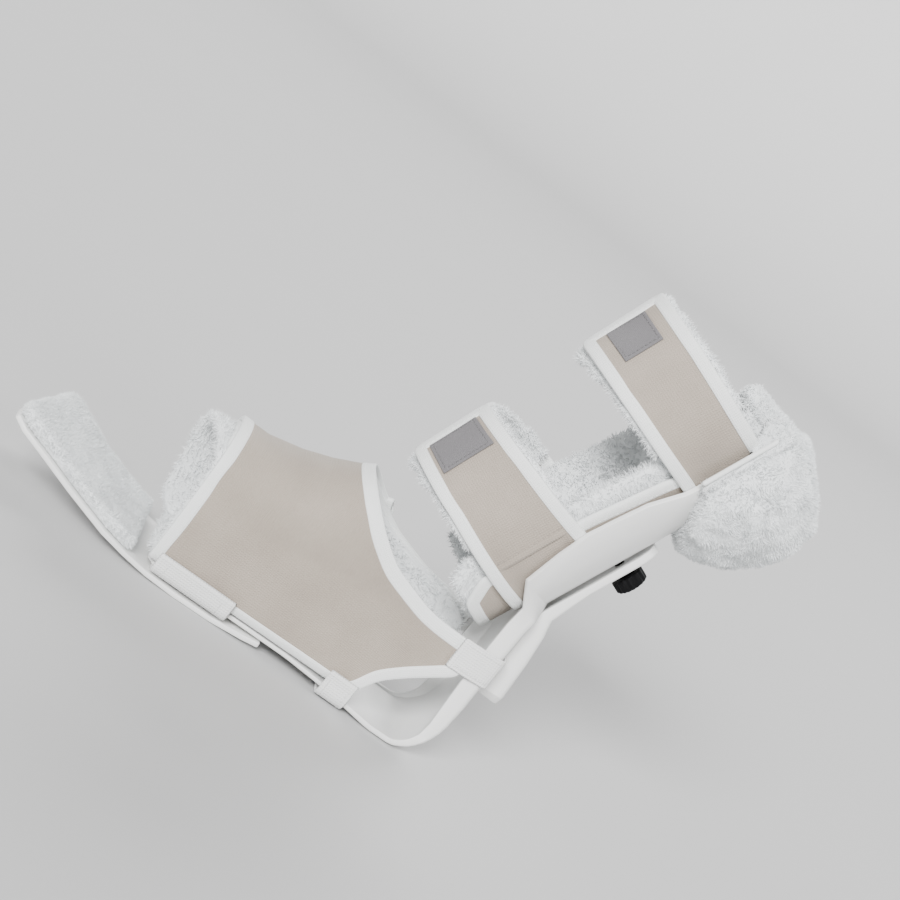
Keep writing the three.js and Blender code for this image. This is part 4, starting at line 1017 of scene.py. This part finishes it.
# Fleece cuff: soft lumps and deep pile over the folded form
def make_cuff():
    rows = np.array(CUFF_PROFILE, float)
    fine_up = np.linspace(0, 1, 60)
    fine_out = np.interp(fine_up, rows[:, 0], rows[:, 1])
    relax(fine_out, 3)
    reach = 1.06
    shares = reach * (edge_steps(90, (0, 0.003, 0.009, 0.0175)) * 2 - 1)
    seat = SHELL_OUT + CLEARANCE
    rings = []
    for share in shares:
        away = min(abs(share), 1)
        angle = share * CUFF_HEM_ANGLE
        bottom = CUFF_BOTTOM + CUFF_HEM_RISE * away ** 1.6
        top = CUFF_TOP - 6 * away
        flare = math.cos(away * math.pi / 2) ** 0.8
        hem = seat + CUFF_HEM
        full = SHELL_OUT + fine_out * CUFF_FLARE
        out = np.minimum(full, hem) + (full - np.minimum(full, hem)) * flare
        height = bottom + (top - bottom) * fine_up
        outer = np.stack([height, out], axis=-1)
        fold = np.array([[top - 2, out[-1] - 3], [top - 5, 1.5], [SHELL_TOP + 3, 1], [SHELL_TOP + 0.8, 4],
                         [SHELL_TOP + 0.8, seat - 2], [SHELL_TOP - 1, seat], [SHELL_TOP - 4, seat]])
        back_up = height[height < SHELL_TOP - 6][::-1]
        back_up = np.interp(np.linspace(0, 1, 34), np.linspace(0, 1, len(back_up)), back_up)
        back_out = np.maximum(seat, np.interp(back_up, height, out) - CUFF_PILE)
        inside = np.stack([back_up + 0.8, back_out], axis=-1)
        loop = np.concatenate([outer, fold, inside])
        middle = loop.mean(axis=0)
        edge = abs(share) / reach
        if edge > 0.999:
            loop = middle + (loop - middle) * 0.62
        elif edge > 0.99:
            loop = middle + (loop - middle) * 0.9
        rings.append(calf_point(loop[:, 0], angle, loop[:, 1]))
    grid = np.array(rings)
    lump = 2.4 * field(grid, 16) + 1.3 * field(grid, 8, 1)
    calm = np.zeros(grid.shape[1])
    calm[:56] = 1
    calm[56:60] = [0.7, 0.5, 0.3, 0.1]
    grid = grid - grid_normals(grid, closed=True) * (lump * calm)[..., None]
    count = grid.shape[1]
    index = np.arange(grid.shape[0] * count).reshape(grid.shape[0], count)
    points = np.concatenate([grid.reshape(-1, 3), grid[[0, -1]].mean(axis=1)])
    cap_first = np.stack([np.full(count, index.size), np.roll(index[0], -1), index[0]], axis=-1)
    cap_last = np.stack([np.full(count, index.size + 1), index[-1], np.roll(index[-1], -1)], axis=-1)
    faces = np.concatenate([split(grid_quads(index, closed=True)), cap_first, cap_last])
    corner = points[faces] - points[0]
    if np.sum(corner[:, 0] * np.cross(corner[:, 1], corner[:, 2])) < 0:
        faces = faces[:, ::-1]

    def open_side(at, facing):
        height, angle = calf_place(at)
        around = np.where(angle > 180, angle - 360, angle)
        ahead = unit(calf_point(height, around + 0.5 * np.sign(around), 0) - calf_point(height, around, 0))
        front_end = (np.abs(around) > CUFF_HEM_ANGLE) & (np.sum(facing * ahead, axis=1) > 0.35)
        outer_side = np.sum(facing * calf_outward(height, around), axis=1) > -0.1
        grown = (height > SHELL_TOP) | outer_side | (height < 118)
        return grown & ~(front_end & (height < SHELL_TOP - 5))

    hairs = pile(points, faces, "cuff", open_side)
    piece = make_piece("cuff_pile", points, faces, "fleece_cuff", "fleece", extra=hairs)
    hems = []
    heights = np.linspace(CUFF_BOTTOM + CUFF_HEM_RISE + 2, SHELL_TOP + 3, 50)
    for side in (-1, 1):
        around = side * (reach * CUFF_HEM_ANGLE + 1.5)
        out = SHELL_OUT + 2.6 - 3 * smooth(SHELL_TOP, SHELL_TOP + 8, heights)
        hems.append(cord(calf_point(heights, around, out), 1.5))
    make_piece("cuff_hem", *join(*hems), [], "tape")


make_cuff()


def triples(items, key, kind):
    values = np.empty(len(items) * 3, kind)
    items.foreach_get(key, values)
    return values.reshape(-1, 3)


# Toe pad: the solid's form, softened, with its rolled rim and nap
def make_toe_pad():
    pad = new_object("toe_pad_source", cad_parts["toe_pad"].data.copy())
    weld(pad)
    remesh = pad.modifiers.new("remesh", "REMESH")
    remesh.mode = "VOXEL"
    remesh.voxel_size = 0.0016
    calm = pad.modifiers.new("calm", "SMOOTH")
    calm.iterations = 14
    calm.factor = 0.5
    shape = pad.evaluated_get(bpy.context.evaluated_depsgraph_get())
    data = shape.to_mesh()
    points = triples(data.vertices, "co", float) * 1000 - SHIFT
    normals = triples(data.vertices, "normal", float)
    data.calc_loop_triangles()
    faces = triples(data.loop_triangles, "vertices", np.int32)
    shape.to_mesh_clear()
    bpy.data.objects.remove(pad)
    top = np.clip(normals[:, 2], 0, 1)
    rim = smooth(27, 34, np.abs(points[:, 1])) * (1 - smooth(36, 40, np.abs(points[:, 1])))
    points = points + normals * (top * (0.5 * field(points, 14) + 0.8 * rim))[:, None]
    hairs = pile(points, faces, "toe_pad", lambda at, facing: facing[:, 2] > -0.3)
    piece = make_piece("toe_pad_pile", points, faces, "toe_pad", "fleece", extra=hairs)


make_toe_pad()


# Webbing bands: the near half of a path across, mirrored, as wide as the band, woven and stitched
def make_band(name, half, along, width, node):
    half = np.array(half, float)
    path = resample(np.concatenate([half, half[-2::-1] * [1, -1, 1]]), 1.5)
    relax(path, 4)
    shares = edge_steps(16, (0, 0.02, 0.05, 0.09)) - 0.5
    middle = path[:, None, :] + np.array(along)[None, None, :] * shares[None, :, None] * width
    out = middle - np.array([path[:, 0].mean(), 0, path[:, 2].mean() + 12])
    points, faces, flat = sheet_solid(middle, WEBBING - 0.1, out, 0.7)
    normal = grid_normals(middle)
    normal = normal * np.sign(np.sum(normal * out, axis=-1, keepdims=True))
    rows = []
    for column in (4, middle.shape[1] - 5):
        line = middle[3:-3, column] + normal[3:-3, column] * (WEBBING / 2)
        rows.append(stitches(line, normal[3:-3, column], 3.2, 2.3, 0.35, 0.18))
    piece = make_piece(name, points, faces, node, "webbing", flat_map=flat)
    seam = make_piece(f"{name}_seams", *join(*rows), [], "webbing")
    declare(piece, middle, [seam])


def sole_band(name, ahead, width, node):
    x = -ahead
    plate_under = PLATE_RISE * read(PLATE_UNDER, (ahead - width / 2) / PLATE_LENGTH)
    seat = WRAP_OUT + BINDING_PROUD + SOFT_GAP + WEBBING / 2
    under = plate_under - CLEARANCE - WEBBING / 2
    heights = np.linspace(WEBBING_RISE, WRAP_FOOT + 3, 5)
    side = [foot_point(x, -sole_angle(h, seat), seat) for h in heights]
    beside = seat - WEBBING / 2
    wide = max(PLATE_WIDTH / 2, -foot_point(x, -sole_angle(heights[-1], beside), beside)[1])
    reach = wide + CLEARANCE + WEBBING / 2
    half = [*side, (x, -reach, under + 4), (x, 3 - reach, under), (x, 0, under)]
    make_band(name, half, (1, 0, 0), width, node)


sole_band("front_sole_band", FRONT_WEB_AT, FRONT_WEB_WIDTH, "front_sole_web")
sole_band("rear_sole_band", REAR_WEB_AT, REAR_WEB_WIDTH, "rear_sole_web")


def heel_band():
    z = HEEL_WEB_AT
    start = WRAP_BACK - BINDING - 4
    grow = WEBBING / 2
    beside = STRIP_WIDTH / 2 + CLEARANCE
    behind = STRIP_SETBACK + CLEARANCE

    def wrap_side(x):
        return -foot_point(x, 10, WRAP_OUT + BINDING_PROUD + CLEARANCE)[1]

    half = [
        (start, -wrap_side(start) - grow, z),
        (WRAP_BACK + 1, -max(wrap_side(WRAP_BACK), beside) - grow, z),
        (behind - 4, -beside - grow, z),
        (behind - 1 + grow, -beside + 1 - grow, z),
        (behind + grow, -beside + 4, z),
        (behind + grow, 0, z),
    ]
    make_band("heel_band", half, (0, 0, 1), HEEL_WEB_WIDTH, "heel_web")


heel_band()


# Floor that turns up far away on all sides, soft lights and the camera
def make_floor():
    bend = np.linspace(0.08, math.pi / 2, 18)
    sweep = FLOOR_REACH + FLOOR_RISE * np.sin(bend)
    radii = np.concatenate([[0.001], np.linspace(0.4, FLOOR_REACH, 8), sweep])
    heights = np.concatenate([np.zeros(9), FLOOR_RISE - FLOOR_RISE * np.cos(bend)])
    count = 96
    turns = np.linspace(0, 2 * math.pi, count, endpoint=False)
    verts = [(r * math.cos(t), r * math.sin(t), h - 0.0002) for r, h in zip(radii, heights) for t in turns]
    index = np.arange(len(radii) * count).reshape(-1, count)
    faces = [list(range(count)), *grid_quads(index, closed=True)[:, [0, 3, 2, 1]].tolist()]
    mesh = bpy.data.meshes.new("floor")
    mesh.from_pydata(verts, [], faces)
    mesh.shade_smooth()
    floor = new_object("floor", mesh)
    material, tree, shader = new_material("floor", (0.56, 0.56, 0.56), 0.9)
    coords = place(tree, "Object")
    tint(tree, shader, noise(tree, coords, 2, 2), (0.55, 0.55, 0.55), (0.57, 0.57, 0.57))
    mesh.materials.append(material)


make_floor()


def soft_light(name, from_way, spread, power):
    data = bpy.data.lights.new(name, "SUN")
    data.angle = math.radians(spread)
    data.energy = power
    new_object(name, data).rotation_euler = Vector(from_way).to_track_quat("Z", "Y").to_euler()


soft_light("key", (-0.4, -1.0, 0.56), 22, 6.4)
soft_light("fill", (0.8, -0.8, 0.62), 30, 0.9)
soft_light("rim", (0.5, 0.9, 0.7), 25, 2.4)

world = bpy.data.worlds.new("studio")
bpy.context.scene.world = world
world.use_nodes = True
sky = world.node_tree.nodes["Background"].inputs
sky["Color"].default_value = (1, 1, 1, 1)
sky["Strength"].default_value = 0.5

CAMERA_AT = np.array([-261.35, -1095.90, 367.50])
CAMERA_AZIMUTH = -10
CAMERA_ELEVATION = 11
CAMERA_ROLL = 38.097
LENS = 80.8
SENSOR_WIDTH = 36

turn = math.radians(CAMERA_AZIMUTH)
tilt = math.radians(CAMERA_ELEVATION)
roll = math.radians(CAMERA_ROLL)
back = Vector((math.sin(turn) * math.cos(tilt), -math.cos(turn) * math.cos(tilt), math.sin(tilt)))
right = Vector((math.cos(turn), math.sin(turn), 0))
up = back.cross(right)
image_x = right * math.cos(roll) + up * math.sin(roll)
image_y = up * math.cos(roll) - right * math.sin(roll)
camera_data = bpy.data.cameras.new("camera")
camera_data.lens = LENS
camera_data.sensor_width = SENSOR_WIDTH
camera = new_object("camera", camera_data)
turned = Matrix((image_x, image_y, back)).transposed().to_4x4()
camera.matrix_world = Matrix.Translation(to_row(CAMERA_AT)) @ turned
bpy.context.scene.camera = camera
